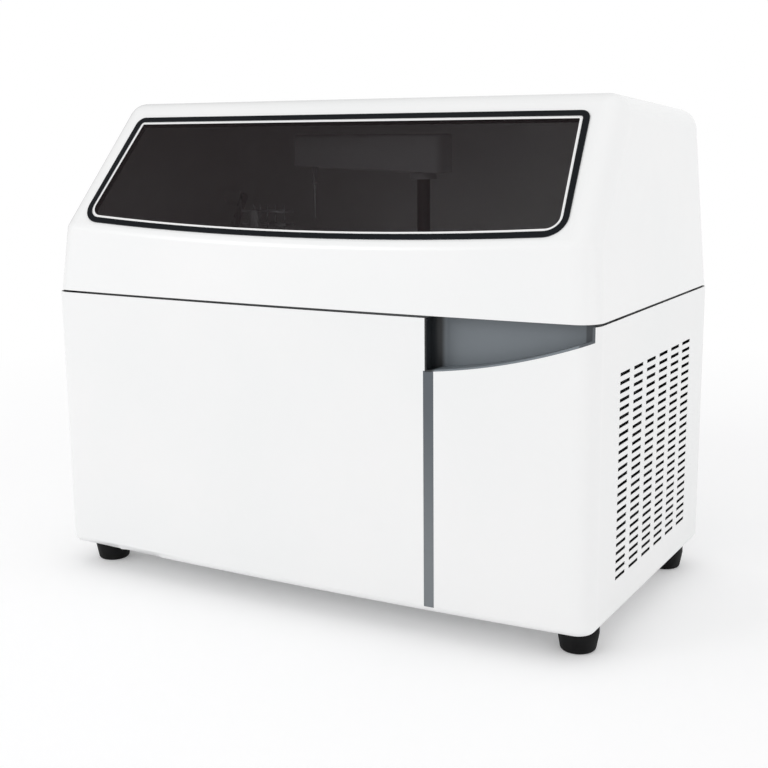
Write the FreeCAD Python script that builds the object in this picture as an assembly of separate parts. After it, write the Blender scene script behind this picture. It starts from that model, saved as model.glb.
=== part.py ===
"""Bench urine analyser in millimetres: a white casing on four rubber feet, with a hinged cover.

The cover has a tinted window. Under it, a probe arm on a lifting post serves a sample carousel,
a wash well and a ring of cuvettes, and a wash head dips into the cuvettes. The drives, pumps,
light source, board, supply and fan are in the casing below the deck.
X runs right along the front, Y to the back, Z up. The origin is the bottom centre of the box
round the whole analyser, at rest with its cover shut and its arm raised over the wash well.
"""

import FreeCAD
import Part

import math
import os

# Casing and feet
casing_width = 690.0
casing_depth = 390.0
casing_height = 315.0
casing_wall = 3.0
front_bow_ratio = 76.667
casing_corner_radius = 20.0
casing_bottom_radius = 8.0
foot_height = 31.0
foot_top_radius = 22.0
foot_base_radius = 18.5
foot_shoulder = 12.0
foot_edge_radius = 4.0
foot_inset_x = 29.5
foot_inset_y = 48.0
foot_screw_radius = 2.5
foot_screw_head_radius = 5.0
foot_screw_head_height = 4.0
foot_screw_recess_radius = 7.0
foot_screw_recess_depth = 12.0
overrun = 10.0
seat_gap = 0.3
sharp_share = 0.05
upright_share = 0.99

# Side vents
vent_columns = 6
vent_rows = 25
vent_length = 29.5
vent_height = 3.7
vent_pitch_y = 42.5
vent_pitch_z = 9.0
vent_first_y = 73.5
vent_first_z = 42.0

# Grip pocket under the cover's front edge, and the strip below it
pocket_width = 177.0
pocket_inset = 3.5
pocket_sill_left = 259.6
pocket_sill_sag = 6.3
pocket_sill_right = 300.0
pocket_depth = 20.0
pocket_left_radius = 14.0
pocket_right_radius = 6.0
pocket_wall = 2.0
strip_width = 11.8
strip_offset = 2.0
strip_foot = 6.4
strip_head = 1.0
strip_groove = 2.0
strip_set_back = 0.3

# Rear panel and bottom pan
rear_opening_side = 34.0
rear_opening_foot = 20.0
rear_opening_head = 40.0
rear_panel_lap = 10.0
rear_panel_thickness = 1.5
rear_screw_radius = 2.0
rear_screw_share = 0.33333
rear_screw_head_radius = 4.0
rear_screw_head_height = 2.4
bottom_flange = 75.0
bottom_pan_thickness = 2.0
bottom_pan_lap = 65.0
bottom_pan_radius = 12.0

# Deck
deck_thickness = 4.0
deck_drop = 7.0
deck_gap = 1.0
deck_rail_width = 14.0
deck_rail_height = 12.0
deck_rail_front = 60.0
deck_rail_length = 250.0

# Cover
cover_gap = 2.5
cover_wall = 3.5
cover_lean_side = 0.09
cover_lean_front = 0.11
knee_height = 79.0
window_lean = 0.843
ridge_height = 220.5
roof_fall = 0.06
cover_radius = 25.0
knee_radius = 14.0
cover_travel = 60.0
buffer_length = 20.0
buffer_width = 2.4
buffer_front = 60.0
buffer_back = 60.0

# Window: heights are along the slanting face, from the knee at the cover's corners
window_foot = 4.8
window_head = 161.0
window_side_foot = 37.6
window_side_head = 51.2
window_sag = 13.1
window_foot_radius = 24.0
window_head_radius = 11.0
window_rebate = 3.0
window_proud = 1.2
window_seat = 3.6
window_land = 8.0
border_width = 6.6
stripe_width = 3.2
stripe_depth = 0.4
pane_thickness = 3.0

# Rear hinges
hinge_reach = 10.0
hinge_barrel_radius = 5.0
hinge_pin_radius = 2.5
hinge_bore_gap = 0.05
hinge_inset = 115.0
hinge_knuckle = 14.0
hinge_knuckle_gap = 0.5
hinge_leaf_thickness = 2.5
hinge_leaf_half = 21.5
hinge_leaf_height = 26.0
hinge_screw_radius = 2.0
hinge_screw_head_radius = 3.8
hinge_screw_head_height = 1.6

# Stays that carry the open cover
stay_arm = 110.0
stay_angle = 60.0
stay_inset = 39.0
stay_width = 14.0
stay_thickness = 2.5
stay_stud_radius = 3.0
stay_clearance = 0.3
stay_end_slack = 1.5
stay_pivot_height = 9.0
stay_bracket_thickness = 3.0
stay_bracket_width = 20.0
stay_foot_length = 16.0
stay_head_radius = 5.5
stay_head_thickness = 2.0
stay_slot_margin = 5.0
stay_slot_front = 28.0
stay_boss_radius = 9.0

# Probe arm, its post and its drive
post_x = 71.0
post_y = 170.0
post_radius = 7.5
post_bore_radius = 4.0
post_foot = 62.0
arm_reach = 148.0
arm_under = 146.0
arm_height = 44.0
arm_taper = 7.5
arm_half_width = 19.0
arm_tail = 30.0
arm_tip = 20.0
arm_corner_radius = 8.0
arm_edge_radius = 4.0
arm_wall = 2.0
arm_floor = 3.0
arm_lift_height = 90.0
flange_radius = 15.0
flange_height = 7.0
guide_radius = 3.5
guide_drop = 20.0
probe_radius = 0.9
probe_drop = 59.0
bush_radius = 11.5
bush_flange_radius = 15.5
bush_flange_height = 4.0
bush_depth = 18.0
running_gap = 0.05
rod_radius = 5.0
rod_spacing = 70.0
rod_land = 10.0
carriage_thickness = 16.0
carriage_reach = 42.0
carriage_tail = 15.0
drive_foot_thickness = 8.0
drive_edge_radius = 4.0
swing_motor_side = 28.0
swing_motor_height = 24.0
lift_motor_side = 42.0
lift_motor_height = 40.0
spindle_radius = 4.0
spindle_offset = 28.0
spindle_grip = 10.0

# Wash well
well_radius = 7.5
well_bore_radius = 5.0
well_flange_radius = 9.0
well_flange_height = 3.0
well_depth = 34.0
well_floor = 3.0

# Sample carousel
sample_offset_x = 125.0
sample_offset_y = 20.0
sample_radius = 104.0
sample_ring_radius = 90.0
sample_sockets = 20
sample_socket_radius = 8.2
sample_plate = 4.0
sample_top = 21.0
sample_drop = 70.0
sample_floor_thickness = 2.0
reagent_ring_radius = 56.0
reagent_sockets = 8
reagent_socket_radius = 11.0
sample_hub_radius = 34.0
sample_knob_radius = 13.0
sample_knob_height = 16.0
sample_knob_edge = 2.0
sample_bowl_gap = 3.5
bowl_wall = 2.0
bowl_flange = 7.0
bowl_flange_height = 2.0
bowl_floor_gap = 6.0
shaft_radius = 5.0
shaft_gap = 0.3
motor_radius = 28.0
motor_height = 44.0
motor_edge = 2.0
spigot_height = 10.0

# Cuvette ring
cuvette_bearing = 155.29
cuvette_bite = 7.53
cuvette_ring_radius = 94.0
cuvette_count = 48
cuvette_length = 6.0
cuvette_width = 3.9
cuvette_depth = 26.0
cuvette_band = 10.0
cuvette_top = 18.0
cuvette_height = 30.0
rotor_plate = 4.0
rotor_hub_radius = 20.0
rotor_window_radius = 13.0
rotor_windows = 6
rotor_window_ring = 48.0
incubator_gap = 2.0
incubator_floor_gap = 5.0

# Wash head over the cuvettes
wash_turn_angle = 52.5
wash_stations = 5
wash_plate_length = 66.0
wash_plate_width = 18.0
wash_plate_thickness = 3.0
wash_low_height = 80.0
wash_plate_pitch = 16.0
wash_needle_radius = 0.8
wash_needle_above = 6.0
wash_needle_below = 50.0
wash_post_radius = 5.0
wash_post_front = 27.0
wash_post_rise = 100.0
wash_post_depth = 50.0
wash_sleeve_radius = 8.0
wash_base_radius = 11.0
wash_base_height = 6.0
wash_motor_side = 28.0
wash_motor_height = 30.0
wash_motor_edge = 2.5

# Photometer beside the cuvette ring
lamp_length = 50.0
lamp_width = 40.0
lamp_height = 56.0
lamp_fins = 7
lamp_fin_thickness = 2.0
lamp_fin_depth = 8.0
lamp_offset_x = 140.0
lamp_offset_y = 53.0

# Pumps on the bottom pan
syringe_x = -40.0
syringe_y = 70.0
syringe_block_width = 46.0
syringe_block_depth = 40.0
syringe_block_height = 20.0
syringe_back_thickness = 10.0
syringe_back_height = 150.0
syringe_barrel_radius = 7.0
syringe_bore_radius = 4.8
syringe_barrel_length = 58.0
plunger_radius = 4.7
plunger_yoke_height = 8.0
plunger_start = 6.0
plunger_yoke_half = 17.0
syringe_head_gap = 3.0
syringe_shelf = 10.0
pump_x = -150.0
pump_y = 70.0
pump_radius = 26.0
pump_length = 34.0
pump_wall = 4.0
pump_height = 60.0
pump_foot_thickness = 4.0
pump_foot_half = 30.0
pump_roller_radius = 6.0
pump_roller_ring = 13.0
pump_rollers = 3
pump_motor_radius = 18.0
pump_motor_length = 40.0
pump_gap = 0.8

# Board and supply
board_inset = 95.0
board_y = 70.0
board_length = 110.0
board_width = 90.0
board_thickness = 1.6
board_boss_height = 8.0
board_boss_radius = 3.0
board_edge = 6.0
board_chip_half = 12.0
board_chip_height = 3.0
supply_length = 120.0
supply_width = 160.0
supply_height = 56.0
supply_inset = 95.0
supply_y = 270.0
supply_wall = 1.5
supply_slots = 7
supply_slot_width = 5.0
supply_slot_margin = 20.0

# Fan, inlet, switch and fittings on the rear panel
fan_inset = 195.0
fan_z = 110.0
fan_side = 92.0
fan_depth = 25.0
fan_bore_radius = 43.0
fan_hub_radius = 19.0
fan_blade_radius = 41.5
fan_blades = 7
fan_blade_thickness = 1.6
fan_blade_pitch = 35.0
fan_shaft_radius = 2.5
fan_back_thickness = 3.0
fan_spoke_width = 5.0
fan_screw_radius = 2.0
fan_screw_head_radius = 4.0
fan_screw_head_height = 2.0
fan_screw_spacing = 82.5
guard_rings = 4
guard_wire = 1.2
guard_thickness = 2.4
guard_eye_radius = 4.0
guard_hub_radius = 12.0
inlet_inset = 95.0
inlet_z = 70.0
inlet_width = 50.0
inlet_height = 28.0
inlet_flange = 2.5
inlet_body_width = 28.0
inlet_body_height = 21.0
inlet_depth = 30.0
inlet_pit_depth = 17.0
inlet_pit_width = 24.0
inlet_pit_height = 16.0
inlet_pin_length = 12.0
inlet_pin_width = 5.0
inlet_pin_thickness = 2.0
inlet_pin_pitch = 7.0
inlet_pin_rise = 3.0
switch_inset = 95.0
switch_z = 112.0
switch_width = 30.0
switch_height = 22.0
switch_flange = 2.0
switch_body_width = 26.0
switch_body_height = 18.0
switch_depth = 20.0
rocker_width = 20.0
rocker_height = 13.0
rocker_thickness = 9.0
rocker_crown = 2.0
rocker_tilt = 8.0
rocker_waist = 11.6
rocker_gap = 0.4
fitting_inset = 225.0
fitting_z = 90.0
fitting_pitch = 34.0
fitting_count = 4
fitting_flange_radius = 9.0
fitting_flange_height = 3.0
fitting_stem_radius = 4.0
fitting_bore_radius = 2.2
fitting_stem_length = 6.0
fitting_tail_length = 14.0
fitting_tail_radius = 6.0

# Levels and lines that the sizes above give
half_width = casing_width / 2
front_bow = casing_width / front_bow_ratio
front = -(casing_depth + front_bow + hinge_reach) / 2 + front_bow
back = front + casing_depth
bottom = foot_height
rim = bottom + casing_height
cover_base = rim + cover_gap
knee = cover_base + knee_height
knee_front = front + cover_lean_front * knee_height
ridge = cover_base + ridge_height
deck_top = rim - deck_drop
deck_under = deck_top - deck_thickness
pan_top = bottom + casing_wall + bottom_pan_thickness
window_lip = border_width + stripe_width
window_half_foot = half_width - window_side_foot
window_half_head = half_width - window_side_head
pocket_right = half_width - pocket_inset
pocket_left = pocket_right - pocket_width
stay_x = half_width - stay_inset
board_x = board_inset - half_width
supply_x = half_width - supply_inset
fan_x = half_width - fan_inset
inlet_x = inlet_inset - half_width
switch_x = switch_inset - half_width
fitting_x = fitting_inset - half_width
sample_x = post_x + sample_offset_x
sample_y = post_y + sample_offset_y
cuvette_reach = arm_reach + cuvette_ring_radius - cuvette_bite
cuvette_x = post_x + cuvette_reach * math.cos(math.radians(cuvette_bearing))
cuvette_y = post_y + cuvette_reach * math.sin(math.radians(cuvette_bearing))
lamp_x = cuvette_x - lamp_offset_x
lamp_y = cuvette_y - lamp_offset_y
hinge_y = back + hinge_barrel_radius
hinge_z = rim + cover_gap / 2


def at(x, y, z):
    return FreeCAD.Vector(x, y, z)


def block(x0, x1, y0, y1, z0, z1):
    return Part.makeBox(x1 - x0, y1 - y0, z1 - z0, at(x0, y0, z0))


def rod(radius, start, end):
    way = end - start
    return Part.makeCylinder(radius, way.Length, start, way)


def post(radius, x, y, z0, z1):
    return rod(radius, at(x, y, z0), at(x, y, z1))


def prism(points, way):
    return Part.Face(Part.makePolygon(points + points[:1])).extrude(way)


def joined(shapes):
    whole = shapes[0]
    if len(shapes) > 1:
        whole = whole.fuse(shapes[1:])
    return whole.removeSplitter()


def group(shapes):
    return Part.makeCompound(shapes)


def upright_edges(shape):
    found = []
    for edge in shape.Edges:
        way = edge.Vertexes[-1].Point - edge.Vertexes[0].Point
        if way.Length and abs(way.z) > upright_share * way.Length:
            found.append(edge)
    return found


def soft_block(x0, x1, y0, y1, z0, z1, radius):
    solid = block(x0, x1, y0, y1, z0, z1)
    return solid.makeFillet(radius, upright_edges(solid))


def face_normal(face, place):
    u, v = face.Surface.parameter(place)
    return face.normalAt(u, v)


def sharp_edges(shape):
    """The edges whose two faces meet at a clear angle."""
    found = []
    for edge in shape.Edges:
        faces = shape.ancestorsOfType(edge, Part.Face)
        place = edge.valueAt((edge.FirstParameter + edge.LastParameter) / 2)
        normals = [face_normal(face, place) for face in faces]
        if len(normals) == 2 and normals[0].cross(normals[1]).Length > sharp_share:
            found.append(edge)
    return found


def turned(shape, x, y, degrees):
    copy = shape.copy()
    copy.rotate(at(x, y, 0), at(0, 0, 1), degrees)
    return copy


def spread(count, radius, x, y, first=0.0):
    """Centres of count places on a circle, from the first angle on."""
    steps = [math.radians(first + 360.0 * n / count) for n in range(count)]
    return [(x + radius * math.cos(a), y + radius * math.sin(a)) for a in steps]


def grid(half_x, half_y):
    return [(sx * half_x, sy * half_y) for sx in (-1, 1) for sy in (-1, 1)]


def bowed_plan(inset, z):
    """The casing's outline seen from above, with its bowed front, drawn in by inset."""
    side = half_width - inset
    line = front + inset
    left_front = at(-side, line, z)
    right_front = at(side, line, z)
    middle = at(0, line - front_bow, z)
    edges = [Part.Arc(left_front, middle, right_front).toShape()]
    corners = [right_front, at(side, back - inset, z), at(-side, back - inset, z), left_front]
    for start, end in zip(corners[:-1], corners[1:]):
        edges.append(Part.makeLine(start, end))
    return Part.Face(Part.Wire(edges))


def casing_block(inset, z0, z1):
    solid = bowed_plan(inset, z0).extrude(at(0, 0, z1 - z0))
    return solid.makeFillet(casing_corner_radius - inset, upright_edges(solid))


def low_edges(shape, z):
    return [edge for edge in shape.Edges if abs(edge.BoundBox.ZMax - z) < seat_gap / 2]


def casing_body(inset):
    """The casing's solid form, with the soft lower edge."""
    solid = casing_block(inset, bottom + inset, rim)
    radius = casing_bottom_radius - inset
    return solid.makeFillet(radius, low_edges(solid, bottom + inset))


def vent_slots():
    slots = []
    for column in range(vent_columns):
        y0 = front + vent_first_y + column * vent_pitch_y
        for row in range(vent_rows):
            z0 = bottom + vent_first_z + row * vent_pitch_z - vent_height / 2
            outer = half_width + overrun
            inner = half_width - casing_wall - overrun
            slots.append(block(inner, outer, y0, y0 + vent_length, z0, z0 + vent_height))
    return group(slots)


def pocket_block(inset):
    """The grip pocket's hollow: its front view and its plan, drawn in by inset."""
    y0 = front - front_bow - overrun
    top = rim + overrun
    left = at(pocket_left + inset, y0, bottom + pocket_sill_left + inset)
    right = at(pocket_right - inset, y0, bottom + pocket_sill_right + inset)
    middle = (left + right) / 2 - at(0, 0, pocket_sill_sag)
    edges = [Part.Arc(left, middle, right).toShape()]
    corners = [right, at(right.x, y0, top), at(left.x, y0, top), left]
    for start, end in zip(corners[:-1], corners[1:]):
        edges.append(Part.makeLine(start, end))
    depth = front + pocket_depth - inset - y0
    hollow = Part.Face(Part.Wire(edges)).extrude(at(0, depth, 0))
    rear = front + pocket_depth - inset
    for radius, x in ((pocket_left_radius, left.x), (pocket_right_radius, right.x)):
        chosen = []
        for edge in upright_edges(hollow):
            place = edge.CenterOfMass
            if abs(place.x - x) < seat_gap and abs(place.y - rear) < seat_gap:
                chosen.append(edge)
        hollow = hollow.makeFillet(radius - inset, chosen)
    return hollow


def strip_region():
    right = pocket_left - strip_offset + strip_width
    y0 = front - front_bow - overrun
    y1 = front + pocket_depth - pocket_left_radius
    z1 = bottom + pocket_sill_left + strip_head
    return block(right - strip_width, right, y0, y1, bottom + strip_foot, z1)


def rear_opening(lap):
    side = half_width - rear_opening_side + lap
    z0 = bottom + rear_opening_foot - lap
    z1 = rim - rear_opening_head + lap
    return side, z0, z1


def make_base_casing():
    hollow = casing_block(casing_wall, bottom + casing_wall, rim + overrun)
    radius = casing_bottom_radius - casing_wall
    hollow = hollow.makeFillet(radius, low_edges(hollow, bottom + casing_wall))
    shell = casing_body(0).cut(hollow)
    side = half_width - bottom_flange
    y0 = front + bottom_flange
    shell = shell.cut(block(-side, side, y0, back - bottom_flange, 0, pan_top))
    side, z0, z1 = rear_opening(0)
    shell = shell.cut(block(-side, side, back - overrun, back + overrun, z0, z1))
    shell = shell.cut(vent_slots())
    shell = shell.cut(pocket_block(0))
    groove = strip_region().cut(casing_body(strip_groove))
    shell = shell.cut(groove)
    for x, y in rear_screw_places():
        shell = shell.cut(rod(rear_screw_radius, at(x, back - overrun, y), at(x, back + overrun, y)))
    for x, y in foot_places():
        shell = shell.cut(post(foot_screw_radius, x, y, 0, pan_top))
    for x, z in hinge_screw_places(-1):
        shell = shell.cut(rod(hinge_screw_radius, at(x, back - overrun, z), at(x, back + overrun, z)))
    return shell.removeSplitter()


def make_grip_liner():
    liner = pocket_block(0).cut(pocket_block(pocket_wall))
    return liner.common(casing_block(0, bottom, rim))


def make_front_strip():
    strip = strip_region().common(casing_body(strip_set_back))
    strip = strip.cut(casing_body(strip_groove))
    return strip.cut(pocket_block(0))


def foot_places():
    x = half_width - foot_inset_x
    return [(sx * x, y) for sx in (-1, 1) for y in (front + foot_inset_y, back - foot_inset_y)]


def make_foot(x, y):
    """A turned rubber foot: straight shoulder, tapered sides, soft lower edge."""
    shoulder = post(foot_top_radius, x, y, foot_height - foot_shoulder, foot_height)
    taper = Part.makeCone(
        foot_base_radius, foot_top_radius, foot_height - foot_shoulder, at(x, y, 0), at(0, 0, 1)
    )
    foot = taper.makeFillet(foot_edge_radius, low_edges(taper, 0))
    foot = joined([foot, shoulder])
    foot = foot.cut(post(foot_screw_recess_radius, x, y, 0, foot_screw_recess_depth))
    return foot.cut(post(foot_screw_radius, x, y, 0, foot_height))


def make_foot_screws():
    screws = []
    for x, y in foot_places():
        top = foot_screw_recess_depth
        head = post(foot_screw_head_radius, x, y, top - foot_screw_head_height, top)
        shank = post(foot_screw_radius, x, y, top, pan_top)
        screws.append(joined([head, shank]))
    return group(screws)


def rear_screw_places():
    side, z0, z1 = rear_opening(rear_panel_lap / 2)
    middle = (z0 + z1) / 2
    places = [(sx * side, z) for sx in (-1, 1) for z in (z0, middle, z1)]
    return places + [(sx * side * rear_screw_share, z) for sx in (-1, 1) for z in (z0, z1)]


def make_rear_panel():
    side, z0, z1 = rear_opening(rear_panel_lap)
    y1 = back - casing_wall
    y0 = y1 - rear_panel_thickness
    panel = block(-side, side, y0, y1, z0, z1)
    holes = [rod(rear_screw_radius, at(x, y0, z), at(x, y1, z)) for x, z in rear_screw_places()]
    holes.append(rod(fan_bore_radius, at(fan_x, y0, bottom + fan_z), at(fan_x, y1, bottom + fan_z)))
    for x, z in fan_screw_places():
        holes.append(rod(fan_screw_radius, at(x, y0, z), at(x, y1, z)))
    half_x = inlet_body_width / 2
    half_z = inlet_body_height / 2
    z = bottom + inlet_z
    holes.append(block(inlet_x - half_x, inlet_x + half_x, y0, y1, z - half_z, z + half_z))
    half_x = switch_body_width / 2
    half_z = switch_body_height / 2
    z = bottom + switch_z
    holes.append(block(switch_x - half_x, switch_x + half_x, y0, y1, z - half_z, z + half_z))
    for x in fitting_places():
        z = bottom + fitting_z
        holes.append(rod(fitting_tail_radius, at(x, y0, z), at(x, y1, z)))
    return panel.cut(holes)


def make_rear_screws():
    screws = []
    for x, z in rear_screw_places():
        head = rod(rear_screw_head_radius, at(x, back, z), at(x, back + rear_screw_head_height, z))
        inner = back - casing_wall - rear_panel_thickness
        screws.append(joined([head, rod(rear_screw_radius, at(x, inner, z), at(x, back, z))]))
    return group(screws)


def make_bottom_pan():
    side = half_width - bottom_flange + bottom_pan_lap
    y0 = front + bottom_flange - bottom_pan_lap
    y1 = back - bottom_flange + bottom_pan_lap
    z0 = bottom + casing_wall
    pan = soft_block(-side, side, y0, y1, z0, pan_top, bottom_pan_radius)
    for x, y in foot_places():
        pan = pan.cut(post(foot_screw_radius, x, y, z0, pan_top))
    x, y = board_x, front + board_y
    top = pan_top + board_boss_height
    bosses = [post(board_boss_radius, x + sx, y + sy, z0, top) for sx, sy in board_corners()]
    return joined([pan] + bosses)


def deck_holes():
    radius = sample_radius + sample_bowl_gap + bowl_wall
    holes = [post(radius, sample_x, front + sample_y, deck_under, deck_top)]
    radius = incubator_radius() + bowl_wall
    holes.append(post(radius, cuvette_x, front + cuvette_y, deck_under, deck_top))
    holes.append(post(bush_radius, post_x, front + post_y, deck_under, deck_top))
    x, y = well_place()
    holes.append(post(well_radius, x, y, deck_under, deck_top))
    x, y = wash_post_place()
    holes.append(post(wash_post_radius, x, y, deck_under, deck_top))
    for side in (-1, 1):
        holes.append(stay_slot(side))
    return holes


def make_deck():
    z0 = deck_under
    deck = casing_block(casing_wall + deck_gap, z0, deck_top)
    deck = deck.cut(pocket_block(-deck_gap))
    return deck.cut(deck_holes())


def make_deck_rails():
    """Two ledges on the casing's side walls that carry the deck."""
    rails = []
    y0 = front + deck_rail_front
    for side in (-1, 1):
        wall = half_width - casing_wall
        inner = wall - deck_rail_width
        z0 = deck_under - deck_rail_height
        solid = block(inner, wall, y0, y0 + deck_rail_length, z0, deck_under)
        hollow = block(
            inner - overrun, wall - casing_wall, y0, y0 + deck_rail_length, z0, deck_under - casing_wall
        )
        rail = solid.cut(hollow)
        if side < 0:
            rail = rail.mirror(at(0, 0, 0), at(1, 0, 0))
        rails.append(rail)
    return group(rails)


def cover_body(inset):
    """The cover's solid form, drawn in by inset: leaning walls, slanting face, falling roof."""
    side_shift = inset * math.hypot(1, cover_lean_side)
    front_shift = inset * math.hypot(1, cover_lean_front)
    slope_shift = inset * math.hypot(1, window_lean)
    roof_shift = inset * math.hypot(1, roof_fall)
    z0 = cover_base - (overrun if inset else 0)
    z1 = ridge + overrun
    rise = z1 - z0
    low_side = half_width - side_shift + cover_lean_side * (cover_base - z0)
    high_side = low_side - cover_lean_side * rise
    y0 = front - front_bow - overrun
    y1 = back - inset
    across = [at(-low_side, y0, z0), at(low_side, y0, z0), at(high_side, y0, z1), at(-high_side, y0, z1)]
    walls = prism(across, at(0, y1 - y0, 0))
    edge_y = knee_front + slope_shift
    foot_z = knee - (edge_y - y0) / window_lean
    ridge_y = edge_y + window_lean * (ridge - knee - roof_shift)
    ridge_z = ridge - roof_shift
    rear_z = ridge_z - roof_fall * (y1 - ridge_y)
    along = [at(-half_width, y0, z0), at(-half_width, y1, z0), at(-half_width, y1, rear_z)]
    along += [at(-half_width, ridge_y, ridge_z), at(-half_width, y0, foot_z)]
    profile = prism(along, at(casing_width, 0, 0))
    reach = half_width + overrun
    line = front + front_shift - cover_lean_front * (cover_base - z0)
    chord_drop = front_bow * (reach / half_width) ** 2 - front_bow
    left = at(-reach, line + chord_drop, z0)
    right = at(reach, line + chord_drop, z0)
    edges = [Part.Arc(left, at(0, line - front_bow, z0), right).toShape()]
    corners = [right, at(reach, back + overrun, z0), at(-reach, back + overrun, z0), left]
    for start, end in zip(corners[:-1], corners[1:]):
        edges.append(Part.makeLine(start, end))
    bow = Part.Face(Part.Wire(edges)).extrude(at(0, cover_lean_front * rise, rise))
    solid = walls.common(profile).common(bow).removeSplitter()
    high = knee - inset
    bend = []
    for edge in solid.Edges:
        box = edge.BoundBox
        if box.XLength > casing_width / 2 and box.ZMax < high + overrun and box.ZMin > z0 + overrun:
            bend.append(edge)
    solid = solid.makeFillet(knee_radius - inset, bend)
    edges = [edge for edge in sharp_edges(solid) if edge.BoundBox.ZMax > z0 + seat_gap]
    return solid.makeFillet(cover_radius - inset, edges)


def slant(u, v, depth):
    """A point on the slanting face: across, up the slope from the knee, and out of the face."""
    length = math.hypot(1, window_lean)
    up = at(0, window_lean / length, 1 / length)
    out = at(0, -1 / length, window_lean / length)
    return at(u, knee_front, knee) + up * v + out * depth


def window_slab(inset, low, high):
    """A plate with the window's outline, drawn in by inset, between two depths of the face."""
    foot = window_foot + inset
    head = window_head - inset
    taper = (window_half_foot - window_half_head) / (window_head - window_foot)
    shrink = inset * math.hypot(1, taper)
    half_foot = window_half_foot - shrink
    half_head = window_half_head - shrink
    left = slant(-half_foot, foot, low)
    right = slant(half_foot, foot, low)
    edges = [Part.Arc(left, slant(0, foot - window_sag, low), right).toShape()]
    corners = [right, slant(half_head, head, low), slant(-half_head, head, low), left]
    for start, end in zip(corners[:-1], corners[1:]):
        edges.append(Part.makeLine(start, end))
    way = slant(0, 0, high) - slant(0, 0, low)
    slab = Part.Face(Part.Wire(edges)).extrude(way)
    for v, radius in ((foot, window_foot_radius), (head, window_head_radius)):
        middle = slant(0, v, (low + high) / 2)
        chosen = []
        for edge in slab.Edges:
            line = edge.Vertexes[-1].Point - edge.Vertexes[0].Point
            if line.cross(way).Length > seat_gap * way.Length:
                continue
            if abs(edge.CenterOfMass.z - middle.z) < window_sag / 2:
                chosen.append(edge)
        slab = slab.makeFillet(max(radius - inset, pane_thickness / 2), chosen)
    return slab


def make_cover_shell():
    """The cover's thin shell, thicker round the window, with lugs inside for the stays."""
    hollow = cover_body(cover_wall)
    hollow = hollow.cut(window_slab(-window_land, -window_rebate - window_seat, overrun))
    hollow = hollow.cut([stay_boss(-1), stay_boss(1)])
    shell = cover_body(0).cut(hollow)
    shell = shell.cut(window_slab(0, -window_rebate, overrun))
    shell = shell.cut(window_slab(window_lip, -overrun, overrun))
    holes = [stay_pivot_hole(-1), stay_pivot_hole(1)]
    for x, z in hinge_screw_places(1):
        holes.append(rod(hinge_screw_radius, at(x, back - overrun, z), at(x, back + overrun, z)))
    return shell.cut(holes)


def make_window_border():
    ring = window_slab(0, -window_rebate, window_proud)
    return ring.cut(window_slab(border_width, -window_rebate - overrun, overrun))


def make_window_pane():
    pane = window_slab(border_width, -window_rebate, pane_thickness - window_rebate)
    return pane.cut(stripe_ring())


def stripe_ring():
    face = pane_thickness - window_rebate
    ring = window_slab(border_width, face - stripe_depth, face)
    return ring.cut(window_slab(border_width + stripe_width, face - overrun, face + overrun))


def make_cover_buffers():
    """Four rubber pads on the casing's rim that the shut cover comes down on."""
    buffers = []
    inner = half_width - casing_wall / 2 - buffer_width / 2
    for side in (-1, 1):
        for y in (front + buffer_front, back - buffer_back):
            x0 = min(side * inner, side * (inner + buffer_width))
            pad = block(x0, x0 + buffer_width, y, y + buffer_length, rim, cover_base - seat_gap)
            buffers.append(pad)
    return group(buffers)


def hinge_centres():
    return [hinge_inset - half_width, half_width - hinge_inset]


def knuckle_spans(side):
    """X spans of the knuckles: side -1 is the casing's middle one, 1 the cover's outer two."""
    spans = []
    for centre in hinge_centres():
        half = hinge_knuckle / 2
        if side < 0:
            spans.append([(centre - half, centre + half)])
        else:
            start = half + hinge_knuckle_gap
            end = start + hinge_knuckle
            spans.append([(centre - end, centre - start), (centre + start, centre + end)])
    return spans


def hinge_screw_places(side):
    places = []
    z = hinge_z + side * (hinge_barrel_radius + hinge_leaf_height) / 2
    for centre in hinge_centres():
        for way in (-1, 1):
            places.append((centre + way * hinge_knuckle, z))
    return places


def make_hinge_leaves(side):
    leaves = []
    for spans, centre in zip(knuckle_spans(side), hinge_centres()):
        half = hinge_leaf_half
        low = hinge_z + side * (hinge_barrel_radius + hinge_knuckle_gap)
        far = hinge_z + side * hinge_leaf_height
        z0 = min(low, far)
        z1 = max(low, far)
        pieces = [block(centre - half, centre + half, back, back + hinge_leaf_thickness, z0, z1)]
        for x0, x1 in spans:
            pieces.append(rod(hinge_barrel_radius, at(x0, hinge_y, hinge_z), at(x1, hinge_y, hinge_z)))
            z0 = min(hinge_z, low)
            z1 = max(hinge_z, low)
            pieces.append(block(x0, x1, back, back + hinge_leaf_thickness, z0, z1))
        leaf = joined(pieces)
        bore = hinge_pin_radius + hinge_bore_gap
        for x0, x1 in spans:
            leaf = leaf.cut(rod(bore, at(x0, hinge_y, hinge_z), at(x1, hinge_y, hinge_z)))
        for x, z in hinge_screw_places(side):
            if abs(x - centre) < hinge_inset:
                leaf = leaf.cut(rod(hinge_screw_radius, at(x, back, z), at(x, hinge_y, z)))
        leaves.append(leaf)
    return group(leaves)


def make_hinge_pins():
    pins = []
    for centre in hinge_centres():
        half = hinge_leaf_half
        start = at(centre - half, hinge_y, hinge_z)
        end = at(centre + half, hinge_y, hinge_z)
        pins.append(rod(hinge_pin_radius, start, end))
    return group(pins)


def make_hinge_screws(side):
    screws = []
    inner = back - (casing_wall if side < 0 else cover_wall)
    for x, z in hinge_screw_places(side):
        face = back + hinge_leaf_thickness
        head = rod(hinge_screw_head_radius, at(x, face, z), at(x, face + hinge_screw_head_height, z))
        screws.append(joined([head, rod(hinge_screw_radius, at(x, inner, z), at(x, face, z))]))
    return group(screws)


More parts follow.
